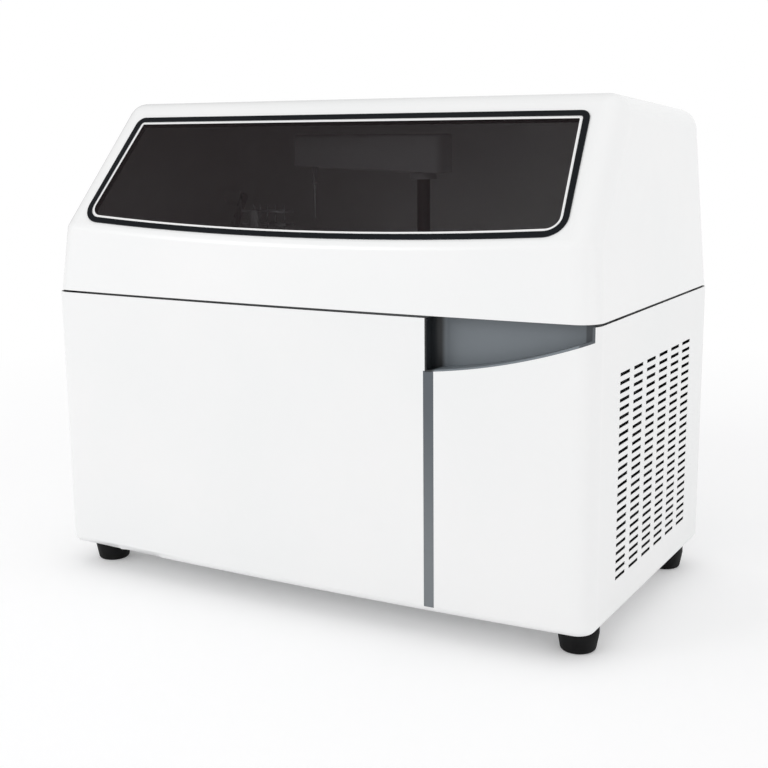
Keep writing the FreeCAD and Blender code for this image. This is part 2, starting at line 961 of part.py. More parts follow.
def stay_base_point():
    """The stay's lower pivot in the YZ plane, as far from the hinge as the upper one."""
    z = deck_top + stay_pivot_height
    y = hinge_y - math.sqrt(stay_arm ** 2 - (z - hinge_z) ** 2)
    return y, z


def stay_cover_point():
    y, z = stay_base_point()
    start = math.atan2(z - hinge_z, hinge_y - y)
    angle = start + math.radians(stay_angle)
    return hinge_y - stay_arm * math.cos(angle), hinge_z + stay_arm * math.sin(angle)


def stay_lengths():
    """Pivot to stud, with the cover shut and with it open."""
    shut = 2 * stay_arm * math.sin(math.radians(stay_angle) / 2)
    wide = 2 * stay_arm * math.sin(math.radians(stay_angle + cover_travel) / 2)
    return shut, wide


def stay_line(distance, across):
    """A point along the shut stay, from the cover's pivot down, and square to it."""
    y0, z0 = stay_cover_point()
    y1, z1 = stay_base_point()
    length = math.hypot(y1 - y0, z1 - z0)
    wy = (y1 - y0) / length
    wz = (z1 - z0) / length
    return y0 + wy * distance - wz * across, z0 + wz * distance + wy * across


def stay_bar(x0, x1, start, end, half):
    """A flat bar with round ends along the stay's line."""
    corners = []
    for distance, across in ((start, -half), (end, -half), (end, half), (start, half)):
        y, z = stay_line(distance, across)
        corners.append(at(x0, y, z))
    pieces = [prism(corners, at(x1 - x0, 0, 0))]
    for distance in (start, end):
        y, z = stay_line(distance, 0)
        pieces.append(rod(half, at(x0, y, z), at(x1, y, z)))
    return joined(pieces)


def make_stay(side):
    shut, wide = stay_lengths()
    x0 = stay_x - stay_thickness / 2
    x1 = stay_x + stay_thickness / 2
    bar = stay_bar(x0, x1, 0, wide, stay_width / 2)
    hole = stay_stud_radius + stay_clearance
    start = shut - stay_end_slack
    slot = stay_bar(x0 - overrun, x1 + overrun, start, wide + stay_end_slack, hole)
    bar = bar.cut(slot)
    y, z = stay_cover_point()
    bar = bar.cut(rod(stay_stud_radius + running_gap, at(x0, y, z), at(x1, y, z)))
    return bar if side > 0 else bar.mirror(at(0, 0, 0), at(1, 0, 0))


def make_stay_bracket(side):
    """An angle on the deck inside the stay, with a headed stud through the stay's slot."""
    y, z = stay_base_point()
    x1 = stay_x - stay_thickness / 2 - stay_clearance
    x0 = x1 - stay_bracket_thickness
    half = stay_bracket_width / 2
    top = z + half
    plate = block(x0, x1, y - half, y + half, deck_top, top)
    foot = block(x1 - stay_foot_length, x1, y - half, y + half, deck_top, deck_top + stay_bracket_thickness)
    far = stay_x + stay_thickness / 2 + stay_clearance
    stud = rod(stay_stud_radius, at(x0, y, z), at(far, y, z))
    head = rod(stay_head_radius, at(far, y, z), at(far + stay_head_thickness, y, z))
    bracket = joined([plate, foot, stud, head])
    return bracket if side > 0 else bracket.mirror(at(0, 0, 0), at(1, 0, 0))


def stay_boss(side):
    """A lug inside the cover's side wall that carries the stay's upper pivot."""
    y, z = stay_cover_point()
    inner = side * (stay_x + stay_thickness / 2 + stay_clearance)
    return rod(stay_boss_radius, at(inner, y, z), at(side * half_width, y, z))


def stay_pivot_hole(side):
    y, z = stay_cover_point()
    inner = stay_x + stay_thickness / 2 + stay_clearance
    return rod(stay_stud_radius, at(side * inner, y, z), at(side * (inner + overrun), y, z))


def make_stay_pivots():
    """Shoulder screws that hold the stays to the cover's lugs."""
    y, z = stay_cover_point()
    inner = stay_x - stay_thickness / 2 - stay_clearance
    far = stay_x + stay_thickness / 2 + stay_clearance + overrun
    pin = rod(stay_stud_radius, at(inner, y, z), at(far, y, z))
    head = rod(stay_head_radius, at(inner - stay_head_thickness, y, z), at(inner, y, z))
    screw = joined([pin, head])
    return group([screw, screw.mirror(at(0, 0, 0), at(1, 0, 0))])


def stay_slot(side):
    """The deck's slot that the stay's free end dips through."""
    shut, wide = stay_lengths()
    half = stay_thickness / 2 + stay_slot_margin
    y0, z0 = stay_line(shut, 0)
    y1, z1 = stay_line(wide + stay_width, 0)
    share = (deck_under - z0) / (z1 - z0)
    y_low = y0 + (y1 - y0) * share
    inner = stay_x - stay_thickness / 2 - stay_clearance
    outer = stay_x + half
    slot = block(inner, outer, y_low - stay_slot_front, y0 + stay_width, deck_under, deck_top)
    return slot if side > 0 else slot.mirror(at(0, 0, 0), at(1, 0, 0))


def arm_base():
    return deck_top + arm_under


def make_arm_post():
    """The round column that turns and rises, with a collar under the arm."""
    z1 = arm_base()
    x, y = post_x, front + post_y
    column = post(post_radius, x, y, deck_top - post_foot, z1)
    column = joined([column, post(flange_radius, x, y, z1 - flange_height, z1)])
    return column.cut(post(post_bore_radius, x, y, deck_top - post_foot, z1))


def arm_outline(inset, z0, z1, lower):
    """The arm's box: its floor rises by the taper towards the tip."""
    x0 = post_x - arm_reach - arm_tip + inset
    x1 = post_x + arm_tail - inset
    y0 = front + post_y - arm_half_width + inset
    y1 = front + post_y + arm_half_width - inset
    points = [at(x0, y0, z0 + lower), at(x1, y0, z0), at(x1, y0, z1), at(x0, y0, z1)]
    solid = prism(points, at(0, y1 - y0, 0))
    return solid.makeFillet(arm_corner_radius - inset, upright_edges(solid))


def make_arm_plate():
    """The arm's floor, fixed on the post, that carries the probe."""
    z0 = arm_base()
    plate = arm_outline(arm_wall, z0, z0 + arm_taper + arm_floor, arm_taper)
    tip_x = post_x - arm_reach
    hole = post(probe_radius + running_gap, tip_x, front + post_y, z0, z0 + arm_height)
    plate = plate.cut(hole)
    return plate.cut(post(post_bore_radius, post_x, front + post_y, z0, z0 + arm_height))


def make_arm_cover():
    z0 = arm_base()
    outer = arm_outline(0, z0, z0 + arm_height, arm_taper)
    outer = outer.makeFillet(arm_edge_radius, high_edges(outer, z0 + arm_height))
    inner = arm_outline(arm_wall, z0 - overrun, z0 + arm_height - arm_wall, arm_taper)
    return outer.cut(inner)


def high_edges(shape, z):
    return [edge for edge in shape.Edges if abs(edge.BoundBox.ZMin - z) < seat_gap / 2]


def make_probe_guide():
    x, y = post_x - arm_reach, front + post_y
    z1 = arm_base() + arm_taper * arm_tip_share()
    guide = post(guide_radius, x, y, z1 - guide_drop, z1)
    return guide.cut(post(probe_radius + running_gap, x, y, z1 - guide_drop, z1))


def arm_tip_share():
    """How far along the arm's sloping floor the probe stands."""
    length = arm_reach + arm_tip + arm_tail - arm_wall * 2
    return (arm_reach + arm_tail - arm_wall - guide_radius) / length


def make_probe():
    x, y = post_x - arm_reach, front + post_y
    top = arm_base() + arm_taper + arm_floor
    needle = post(probe_radius, x, y, arm_base() - probe_drop, top)
    collar = post(guide_radius, x, y, top, top + guide_radius)
    return joined([needle, collar])


def make_post_bush():
    x, y = post_x, front + post_y
    flange = post(bush_flange_radius, x, y, deck_top, deck_top + bush_flange_height)
    body = post(bush_radius, x, y, deck_top - bush_depth, deck_top)
    bush = joined([flange, body])
    bore = post(post_radius + running_gap, x, y, deck_top - bush_depth, deck_top + bush_flange_height)
    return bush.cut(bore)


def drive_levels():
    """The carriage's top, at the foot of the post, and the top of the drive's lower plate."""
    carriage = deck_top - post_foot
    travel = arm_lift_height + swing_motor_height + carriage_thickness + seat_gap
    return carriage, carriage - travel


def rod_places():
    y = front + post_y
    return [(post_x, y - rod_spacing / 2), (post_x, y + rod_spacing / 2)]


def drive_block(z0, z1):
    """A soft-cornered block over the guide rods, the post and the lifting spindle."""
    half = rod_spacing / 2 + rod_land
    y = front + post_y
    x0 = post_x - carriage_reach
    x1 = post_x + carriage_tail
    return soft_block(x0, x1, y - half, y + half, z0, z1, drive_edge_radius)


def spindle(radius, z0, z1):
    return post(radius, post_x - spindle_offset, front + post_y, z0, z1)


def make_guide_rods():
    carriage, low = drive_levels()
    return group([post(rod_radius, x, y, low, deck_under) for x, y in rod_places()])


def make_drive_frame():
    """The drive's lower plate on two walls that stand on the bottom pan."""
    carriage, low = drive_levels()
    z0 = low - drive_foot_thickness
    plate = drive_block(z0, low)
    half = rod_spacing / 2 + rod_land
    legs = []
    for side in (-1, 1):
        inner = front + post_y + side * (half - drive_foot_thickness)
        outer = front + post_y + side * half
        y0 = min(inner, outer)
        y1 = max(inner, outer)
        x0 = post_x - carriage_reach + drive_edge_radius
        x1 = post_x + carriage_tail - drive_edge_radius
        legs.append(block(x0, x1, y0, y1, pan_top, z0))
    frame = joined([plate] + legs)
    return frame.cut(spindle(spindle_radius + seat_gap, z0, low))


def make_lift_motor():
    """A hollow-shaft motor under the plate: the spindle rises and falls through it."""
    carriage, low = drive_levels()
    half = lift_motor_side / 2
    x, y = post_x - spindle_offset, front + post_y
    z1 = low - drive_foot_thickness
    z0 = z1 - lift_motor_height
    body = soft_block(x - half, x + half, y - half, y + half, z0, z1, drive_edge_radius)
    return body.cut(spindle(spindle_radius + running_gap, z0, z1))


def make_lift_carriage():
    """The block that carries the post and slides on the two rods."""
    carriage, low = drive_levels()
    z0 = carriage - carriage_thickness
    body = drive_block(z0, carriage)
    for x, y in rod_places():
        body = body.cut(post(rod_radius + running_gap, x, y, z0, carriage))
    x, y = post_x, front + post_y
    body = body.cut(post(post_bore_radius, x, y, z0, carriage))
    return body.cut(spindle(spindle_radius, z0, carriage))


def make_lift_spindle():
    carriage, low = drive_levels()
    return spindle(spindle_radius, low - drive_foot_thickness - spindle_grip, carriage)


def make_swing_motor():
    """The motor under the carriage, with its shaft up inside the column."""
    carriage, low = drive_levels()
    half = swing_motor_side / 2
    x, y = post_x, front + post_y
    z1 = carriage - carriage_thickness
    z0 = z1 - swing_motor_height
    body = soft_block(x - half, x + half, y - half, y + half, z0, z1, drive_edge_radius)
    shaft = post(post_bore_radius - running_gap, x, y, z1, carriage + spindle_grip)
    return joined([body, shaft])


def well_place():
    return post_x - arm_reach, front + post_y


def make_wash_well():
    x, y = well_place()
    z1 = deck_top + well_flange_height
    flange = post(well_flange_radius, x, y, deck_top, z1)
    body = post(well_radius, x, y, deck_top - well_depth, deck_top)
    bore = post(well_bore_radius, x, y, deck_top - well_depth + well_floor, z1)
    return joined([flange, body]).cut(bore)


def sample_levels():
    top = deck_top + sample_top
    return top, top - sample_drop


def make_bowl(x, y, radius, z0, hub):
    """A pan that hangs in the deck by its flange, with a hole for the shaft."""
    outer = post(radius + bowl_wall, x, y, z0, deck_top + bowl_flange_height)
    flange = post(radius + bowl_wall + bowl_flange, x, y, deck_top, deck_top + bowl_flange_height)
    pan = joined([outer, flange])
    pan = pan.cut(post(radius, x, y, z0 + bowl_wall, deck_top + bowl_flange_height))
    z1 = deck_top + bowl_flange_height
    notches = [post(bush_flange_radius + seat_gap, post_x, front + post_y, deck_top, z1)]
    wx, wy = well_place()
    notches.append(post(well_flange_radius + seat_gap, wx, wy, deck_top, z1))
    wx, wy = wash_post_place()
    notches.append(post(wash_base_radius + seat_gap, wx, wy, deck_top, z1))
    pan = pan.cut(notches)
    return pan.cut(post(hub, x, y, z0, z0 + bowl_wall))


def sample_floor():
    top, low = sample_levels()
    return low - bowl_floor_gap


def make_sample_bowl():
    radius = sample_radius + sample_bowl_gap
    z0 = sample_floor() - bowl_wall
    return make_bowl(sample_x, front + sample_y, radius, z0, shaft_radius + shaft_gap)


def make_sample_carousel():
    """Two plates on a hub, with sockets round the rim for the tubes, and a lifting knob."""
    x, y = sample_x, front + sample_y
    top, low = sample_levels()
    pieces = [post(sample_radius, x, y, top - sample_plate, top)]
    pieces.append(post(sample_radius, x, y, low, low + sample_plate))
    pieces.append(post(sample_hub_radius, x, y, low, top))
    pieces.append(post(sample_knob_radius, x, y, top, top + sample_knob_height))
    wheel = joined(pieces)
    holes = []
    for hx, hy in spread(sample_sockets, sample_ring_radius, x, y, sample_phase()):
        holes.append(post(sample_socket_radius, hx, hy, low + sample_floor_thickness, top))
    for hx, hy in spread(reagent_sockets, reagent_ring_radius, x, y):
        holes.append(post(reagent_socket_radius, hx, hy, low + sample_floor_thickness, top))
    wheel = wheel.cut(group(holes))
    wheel = wheel.makeFillet(sample_knob_edge, high_edges(wheel, top + sample_knob_height))
    return wheel.cut(post(shaft_radius, x, y, low, low + spigot_height))


def arm_meets(x, y, radius, way):
    """Where the probe's circle crosses a ring round x, y: the crossing on the given hand."""
    px, py = post_x, front + post_y
    apart = math.hypot(x - px, y - py)
    along = (arm_reach ** 2 - radius ** 2 + apart ** 2) / (2 * apart)
    off = math.sqrt(arm_reach ** 2 - along ** 2) * way
    ux = (x - px) / apart
    uy = (y - py) / apart
    return px + ux * along - uy * off, py + uy * along + ux * off


def sample_phase():
    """The angle of the socket under the swung probe, as seen from the carousel's centre."""
    x, y = arm_meets(sample_x, front + sample_y, sample_ring_radius, 1)
    return math.degrees(math.atan2(y - front - sample_y, x - sample_x))


def make_motor(x, y, z1):
    """A round drive motor under a bowl, with its shaft up into the wheel."""
    body = post(motor_radius, x, y, z1 - motor_height, z1)
    return body.makeFillet(motor_edge, low_edges(body, z1 - motor_height))


def make_sample_motor():
    x, y = sample_x, front + sample_y
    z1 = sample_floor() - bowl_wall
    return make_motor(x, y, z1)


def make_sample_shaft():
    x, y = sample_x, front + sample_y
    top, low = sample_levels()
    return post(shaft_radius, x, y, sample_floor() - bowl_wall, low + spigot_height)


def incubator_radius():
    return cuvette_ring_radius + cuvette_band + incubator_gap


def cuvette_levels():
    top = deck_top + cuvette_top
    return top, top - cuvette_height


def incubator_floor():
    top, low = cuvette_levels()
    return low - incubator_floor_gap


def make_incubator():
    z0 = incubator_floor() - bowl_wall
    x, y = cuvette_x, front + cuvette_y
    return make_bowl(x, y, incubator_radius(), z0, shaft_radius + shaft_gap)


def cuvette_phase():
    x, y = arm_meets(cuvette_x, front + cuvette_y, cuvette_ring_radius, 1)
    return math.degrees(math.atan2(y - front - cuvette_y, x - cuvette_x))


def make_cuvette_ring():
    """The clear ring of small square wells that the samples react in."""
    x, y = cuvette_x, front + cuvette_y
    top, low = cuvette_levels()
    ring = post(cuvette_ring_radius + cuvette_band, x, y, low, top)
    ring = ring.cut(post(cuvette_ring_radius - cuvette_band, x, y, low, top))
    half_l = cuvette_length / 2
    half_w = cuvette_width / 2
    x0 = x + cuvette_ring_radius - half_l
    well = block(x0, x0 + cuvette_length, y - half_w, y + half_w, top - cuvette_depth, top)
    first = cuvette_phase()
    wells = [turned(well, x, y, first + 360.0 * n / cuvette_count) for n in range(cuvette_count)]
    return ring.cut(group(wells))


def make_rotor():
    """The wheel that carries the cuvette ring, with round windows to lighten it."""
    x, y = cuvette_x, front + cuvette_y
    top, low = cuvette_levels()
    inner = cuvette_ring_radius - cuvette_band
    pieces = [post(inner, x, y, top - rotor_plate, top)]
    pieces.append(post(rotor_hub_radius, x, y, low, top + rotor_plate))
    wheel = joined(pieces)
    holes = []
    for hx, hy in spread(rotor_windows, rotor_window_ring, x, y):
        holes.append(post(rotor_window_radius, hx, hy, low, top))
    wheel = wheel.cut(group(holes))
    return wheel.cut(post(shaft_radius + running_gap, x, y, low, low + spigot_height))


def make_rotor_motor():
    x, y = cuvette_x, front + cuvette_y
    return make_motor(x, y, incubator_floor() - bowl_wall)


def make_rotor_shaft():
    x, y = cuvette_x, front + cuvette_y
    top, low = cuvette_levels()
    return post(shaft_radius, x, y, incubator_floor() - bowl_wall, low + spigot_height)


def wash_angle():
    return cuvette_phase() - wash_turn_angle


def wash_centre():
    a = math.radians(wash_angle())
    x = cuvette_x + cuvette_ring_radius * math.cos(a)
    y = front + cuvette_y + cuvette_ring_radius * math.sin(a)
    return x, y


def wash_post_place():
    x, y = wash_centre()
    return x, y - wash_post_front


def make_wash_head():
    """Two plates, one over the other, on a sleeve that slides on the wash post."""
    x, y = wash_centre()
    px, py = wash_post_place()
    z0 = deck_top + wash_low_height
    half = wash_plate_length / 2
    wide = wash_plate_width / 2
    pieces = []
    for level in (0, 1):
        low = z0 + level * wash_plate_pitch
        pieces.append(block(x - half, x + half, y - wide, y + wide, low, low + wash_plate_thickness))
        arm = block(px - wash_sleeve_radius, px + wash_sleeve_radius, py, y, low, low + wash_plate_thickness)
        pieces.append(arm)
    high = z0 + wash_plate_pitch + wash_plate_thickness
    pieces.append(post(wash_sleeve_radius, px, py, z0, high))
    head = joined(pieces)
    head = head.cut(post(wash_post_radius + running_gap, px, py, z0, high))
    for nx, ny in needle_places():
        head = head.cut(post(wash_needle_radius, nx, ny, z0, high))
    return head


def needle_places():
    """One place over each cuvette that the wash head serves."""
    pitch = 360.0 / cuvette_count
    start = wash_angle() - pitch * (wash_stations - 1) / 2
    places = []
    for n in range(wash_stations):
        a = math.radians(start + n * pitch)
        x = cuvette_x + cuvette_ring_radius * math.cos(a)
        places.append((x, front + cuvette_y + cuvette_ring_radius * math.sin(a)))
    return places


def make_wash_needles():
    z0 = deck_top + wash_low_height - wash_needle_below
    z1 = deck_top + wash_low_height + wash_plate_pitch + wash_plate_thickness + wash_needle_above
    return group([post(wash_needle_radius, x, y, z0, z1) for x, y in needle_places()])


def make_wash_post():
    """The post that the wash head slides on, with its collar on the deck."""
    x, y = wash_post_place()
    rail = post(wash_post_radius, x, y, deck_top - wash_post_depth, deck_top + wash_post_rise)
    collar = post(wash_base_radius, x, y, deck_top, deck_top + wash_base_height)
    return joined([rail, collar])


def make_wash_motor():
    """The small lift motor at the foot of the wash post."""
    x, y = wash_post_place()
    half = wash_motor_side / 2
    z1 = deck_top - wash_post_depth
    return soft_block(x - half, x + half, y - half, y + half, z1 - wash_motor_height, z1, wash_motor_edge)


def make_lamp_house():
    """The finned light source of the photometer, on the deck beside the cuvettes."""
    y = front + lamp_y
    half_l = lamp_length / 2
    half_w = lamp_width / 2
    x0 = lamp_x - half_w
    x1 = lamp_x + half_w
    body = block(x0, x1, y - half_l, y + half_l, deck_top, deck_top + lamp_height)
    pitch = (lamp_length - lamp_fin_thickness) / (lamp_fins - 1)
    z1 = deck_top + lamp_height
    for n in range(lamp_fins - 1):
        y0 = y - half_l + n * pitch + lamp_fin_thickness
        y1 = y - half_l + (n + 1) * pitch
        body = body.cut(block(x0, x1, y0, y1, z1 - lamp_fin_depth, z1))
    return body


def make_syringe_body():
    """The syringe pump's stand, with a glass barrel held upright in front of it."""
    x, y = syringe_x, front + syringe_y
    half = syringe_block_width / 2
    depth = syringe_block_depth / 2
    base = block(x - half, x + half, y - depth, y + depth, pan_top, pan_top + syringe_block_height)
    z1 = pan_top + syringe_back_height
    y1 = y + depth
    spine = block(x - half, x + half, y1 - syringe_back_thickness, y1, pan_top, z1)
    shelf = block(x - half, x + half, y - syringe_shelf, y1, z1 - syringe_back_thickness, z1)
    return joined([base, spine, shelf])


def syringe_levels():
    top = pan_top + syringe_back_height - syringe_back_thickness
    return top, top - syringe_barrel_length


def make_syringe_barrel():
    x, y = syringe_x, front + syringe_y
    top, low = syringe_levels()
    barrel = post(syringe_barrel_radius, x, y, low, top)
    return barrel.cut(post(syringe_bore_radius, x, y, low, top - syringe_head_gap))


def make_syringe_plunger():
    x, y = syringe_x, front + syringe_y
    top, low = syringe_levels()
    foot = low - plunger_start
    stem = post(plunger_radius, x, y, foot, top - plunger_start)
    half = plunger_yoke_half
    depth = syringe_block_depth / 2
    y1 = y + depth - syringe_back_thickness - seat_gap
    yoke = block(x - half, x + half, y - syringe_barrel_radius, y1, foot - plunger_yoke_height, foot)
    return joined([stem, yoke])


def pump_levels():
    return pan_top + pump_height


def make_pump_body():
    """The waste pump's round head on a bracket, with its motor behind."""
    x, y = pump_x, front + pump_y
    z = pump_levels()
    half = pump_length / 2
    head = rod(pump_radius, at(x, y - half, z), at(x, y + half, z))
    bore = pump_radius - pump_wall
    head = head.cut(rod(bore, at(x, y - half, z), at(x, y + half - pump_wall, z)))
    motor = rod(pump_motor_radius, at(x, y + half, z), at(x, y + half + pump_motor_length, z))
    wide = pump_foot_half
    stand = block(x - wide, x + wide, y + half - pump_wall, y + half, pan_top, z)
    stand = stand.cut(rod(bore, at(x, y - half, z), at(x, y + half - pump_wall, z)))
    foot = block(x - wide, x + wide, y - half, y + half, pan_top, pan_top + pump_foot_thickness)
    return joined([head, motor, stand, foot])


def make_pump_rotor():
    x, y = pump_x, front + pump_y
    z = pump_levels()
    y0 = y - pump_length / 2 + pump_gap
    y1 = y + pump_length / 2 - pump_wall - pump_gap / 2
    pieces = [rod(pump_roller_ring, at(x, y0, z), at(x, y1, z))]
    for n in range(pump_rollers):
        a = 2 * math.pi * n / pump_rollers
        px = x + pump_roller_ring * math.cos(a)
        pz = z + pump_roller_ring * math.sin(a)
        pieces.append(rod(pump_roller_radius, at(px, y0, pz), at(px, y1, pz)))
    return joined(pieces)


def board_corners():
    return grid(board_length / 2 - board_edge, board_width / 2 - board_edge)


def make_board():
    x, y = board_x, front + board_y
    z0 = pan_top + board_boss_height
    half_l = board_length / 2
    half_w = board_width / 2
    z1 = z0 + board_thickness
    board = block(x - half_l, x + half_l, y - half_w, y + half_w, z0, z1)
    chip = board_chip_half
    top = z1 + board_chip_height
    pieces = [board]
    for sx, sy in grid(half_l / 2, half_w / 2):
        pieces.append(block(x + sx - chip, x + sx + chip, y + sy - chip, y + sy + chip, z1, top))
    return joined(pieces)


def make_power_supply():
    """The mains supply's sheet box, with slots in its lid."""
    half_l = supply_length / 2
    half_w = supply_width / 2
    x, y = supply_x, front + supply_y
    top = pan_top + supply_height
    box = block(x - half_l, x + half_l, y - half_w, y + half_w, pan_top, top)
    half_l = half_l - supply_wall
    half_w = half_w - supply_wall
    z0 = pan_top + supply_wall
    box = box.cut(block(x - half_l, x + half_l, y - half_w, y + half_w, z0, top - supply_wall))
    reach = half_l - supply_slot_margin
    pitch = (half_w - supply_slot_margin) * 2 / (supply_slots - 1)
    slots = []
    for n in range(supply_slots):
        y0 = y - half_w + supply_slot_margin + n * pitch - supply_slot_width / 2
        slots.append(block(x - reach, x + reach, y0, y0 + supply_slot_width, z0, top))
    return box.cut(slots)


def fan_screw_places():
    half = fan_screw_spacing / 2
    z = bottom + fan_z
    return [(fan_x + sx, z + sz) for sx, sz in grid(half, half)]


def fan_faces():
    """The fan's rear face, on the rear panel, and its inner face."""
    y1 = back - casing_wall - rear_panel_thickness
    return y1, y1 - fan_depth


def make_fan_frame():
    y1, y0 = fan_faces()
    z = bottom + fan_z
    half = fan_side / 2
    frame = block(fan_x - half, fan_x + half, y0, y1, z - half, z + half)
    frame = frame.cut(rod(fan_bore_radius, at(fan_x, y0, z), at(fan_x, y1, z)))
    spoke = fan_spoke_width / 2
    y2 = y0 + fan_back_thickness
    ring = rod(fan_hub_radius, at(fan_x, y0, z), at(fan_x, y2, z))
    across = block(fan_x - half, fan_x + half, y0, y2, z - spoke, z + spoke)
    upright = block(fan_x - spoke, fan_x + spoke, y0, y2, z - half, z + half)
    pin = rod(fan_shaft_radius, at(fan_x, y0, z), at(fan_x, (y0 + y1) / 2, z))
    frame = joined([frame, ring, across, upright, pin])
    holes = [rod(fan_screw_radius, at(x, y0, hz), at(x, y1, hz)) for x, hz in fan_screw_places()]
    return frame.cut(holes)


def make_fan_rotor():
    y1, y0 = fan_faces()
    z = bottom + fan_z
    y0 = y0 + fan_back_thickness + pump_gap
    y1 = y1 - pump_gap
    hub = rod(fan_hub_radius, at(fan_x, y0, z), at(fan_x, y1, z))
    half = fan_blade_thickness / 2
    length = (y1 - y0) * math.cos(math.radians(fan_blade_pitch)) / 2
    middle = (y0 + y1) / 2
    low = z + fan_hub_radius - fan_blade_thickness
    blade = block(fan_x - half, fan_x + half, middle - length, middle + length, low, z + fan_blade_radius)
    blade.rotate(at(fan_x, middle, z), at(0, 0, 1), fan_blade_pitch)
    reach = rod(fan_blade_radius, at(fan_x, y0, z), at(fan_x, y1, z))
    blade = blade.common(reach)
    pieces = [hub]
    for n in range(fan_blades):
        copy = blade.copy()
        copy.rotate(at(fan_x, middle, z), at(0, 1, 0), 360.0 * n / fan_blades)
        pieces.append(copy)
    rotor = joined(pieces)
    bore = fan_shaft_radius + running_gap
    return rotor.cut(rod(bore, at(fan_x, y0, z), at(fan_x, middle + pump_gap, z)))


def make_fan_guard():
    """A wire guard: rings and four spokes on the panel's outer face, with screw eyes."""
    z = bottom + fan_z
    face = back - casing_wall
    y0 = face
    y1 = face + guard_thickness
    pieces = []
    pitch = (fan_bore_radius - guard_hub_radius) / (guard_rings - 1)
    for n in range(guard_rings):
        radius = guard_hub_radius + n * pitch
        ring = rod(radius + guard_wire, at(fan_x, y0, z), at(fan_x, y1, z))
        pieces.append(ring.cut(rod(radius - guard_wire, at(fan_x, y0, z), at(fan_x, y1, z))))
    half = math.hypot(fan_screw_spacing, fan_screw_spacing) / 2
    bar = block(-half, half, y0, y1, -guard_wire, guard_wire)
    for turn in (45, 135):
        copy = bar.copy()
        copy.rotate(at(0, 0, 0), at(0, 1, 0), turn)
        copy.translate(at(fan_x, 0, z))
        pieces.append(copy)
    for x, hz in fan_screw_places():
        pieces.append(rod(guard_eye_radius, at(x, y0, hz), at(x, y1, hz)))
    guard = joined(pieces)
    holes = [rod(fan_screw_radius, at(x, y0, hz), at(x, y1, hz)) for x, hz in fan_screw_places()]
    return guard.cut(holes)


def make_fan_screws():
    screws = []
    face = back - casing_wall + guard_thickness
    y1, y0 = fan_faces()
    for x, z in fan_screw_places():
        head = rod(fan_screw_head_radius, at(x, face, z), at(x, face + fan_screw_head_height, z))
        screws.append(joined([head, rod(fan_screw_radius, at(x, y0, z), at(x, face, z))]))
    return group(screws)


def make_power_inlet():
    """The mains inlet: a flanged socket with three flat pins in its pit."""
    z = bottom + inlet_z
    face = back - casing_wall
    half_x = inlet_width / 2
    half_z = inlet_height / 2
    plate = block(inlet_x - half_x, inlet_x + half_x, face, face + inlet_flange, z - half_z, z + half_z)
    half_x = inlet_body_width / 2
    half_z = inlet_body_height / 2
    y0 = face - inlet_depth
    body = block(inlet_x - half_x, inlet_x + half_x, y0, face, z - half_z, z + half_z)
    socket = joined([plate, body])
    half_x = inlet_pit_width / 2
    half_z = inlet_pit_height / 2
    floor = face + inlet_flange - inlet_pit_depth
    pit = block(inlet_x - half_x, inlet_x + half_x, floor, face + inlet_flange, z - half_z, z + half_z)
    socket = socket.cut(pit)
    pins = []
    for n, rise in ((-1, 0), (0, 1), (1, 0)):
        px = inlet_x + n * inlet_pin_pitch
        pz = z + rise * inlet_pin_rise
        thick = inlet_pin_thickness / 2
        tall = inlet_pin_width / 2
        pins.append(block(px - thick, px + thick, floor, floor + inlet_pin_length, pz - tall, pz + tall))
    return joined([socket] + pins)


def make_switch_frame():
    z = bottom + switch_z
    face = back - casing_wall
    half_x = switch_width / 2
    half_z = switch_height / 2
    plate = block(switch_x - half_x, switch_x + half_x, face, face + switch_flange, z - half_z, z + half_z)
    half_x = switch_body_width / 2
    half_z = switch_body_height / 2
    body = block(switch_x - half_x, switch_x + half_x, face - switch_depth, face, z - half_z, z + half_z)
    frame = joined([plate, body])
    half_x = rocker_width / 2 + rocker_gap
    half_z = rocker_height / 2 + rocker_gap
    floor = face - rocker_thickness - rocker_crown
    pit = block(switch_x - half_x, switch_x + half_x, floor, face + switch_flange, z - half_z, z + half_z)
    return frame.cut(pit)


def rocker_axis():
    """The rocker's turning line: X, inside the switch."""
    return back - casing_wall - rocker_thickness / 2, bottom + switch_z


def make_rocker():
    """A see-saw rocker, round behind its turning line, tilted to its off side."""
    y, z = rocker_axis()
    tall = rocker_height / 2
    waist = rocker_waist / 2
    face = back - casing_wall + switch_flange
    x0 = switch_x - rocker_width / 2
    x1 = x0 + rocker_width
    points = [at(x0, y, z - tall), at(x0, face, z - waist), at(x0, face - rocker_crown, z)]
    points += [at(x0, face, z + waist), at(x0, y, z + tall)]
    key = prism(points, at(rocker_width, 0, 0))
    drum = rod(tall, at(x0, y, z), at(x1, y, z))
    drum = drum.common(block(x0, x1, y - tall, y, z - tall, z + tall))
    rocker = joined([key, drum])
    rocker.rotate(at(x0, y, z), at(1, 0, 0), -rocker_tilt)
    return rocker


def fitting_places():
    return [fitting_x + n * fitting_pitch for n in range(fitting_count)]


def make_fittings():
    """Barbed-free bulkhead fittings for water and waste lines, bored through."""
    fittings = []
    z = bottom + fitting_z
    face = back - casing_wall
    for x in fitting_places():
        nut = rod(fitting_flange_radius, at(x, face, z), at(x, face + fitting_flange_height, z))
        end = face + fitting_flange_height + fitting_stem_length
        stem = rod(fitting_stem_radius, at(x, face, z), at(x, end, z))
        y0 = face - fitting_tail_length
        tail = rod(fitting_tail_radius, at(x, y0, z), at(x, face, z))
        body = joined([nut, stem, tail])
        fittings.append(body.cut(rod(fitting_bore_radius, at(x, y0, z), at(x, end, z))))
    return group(fittings)


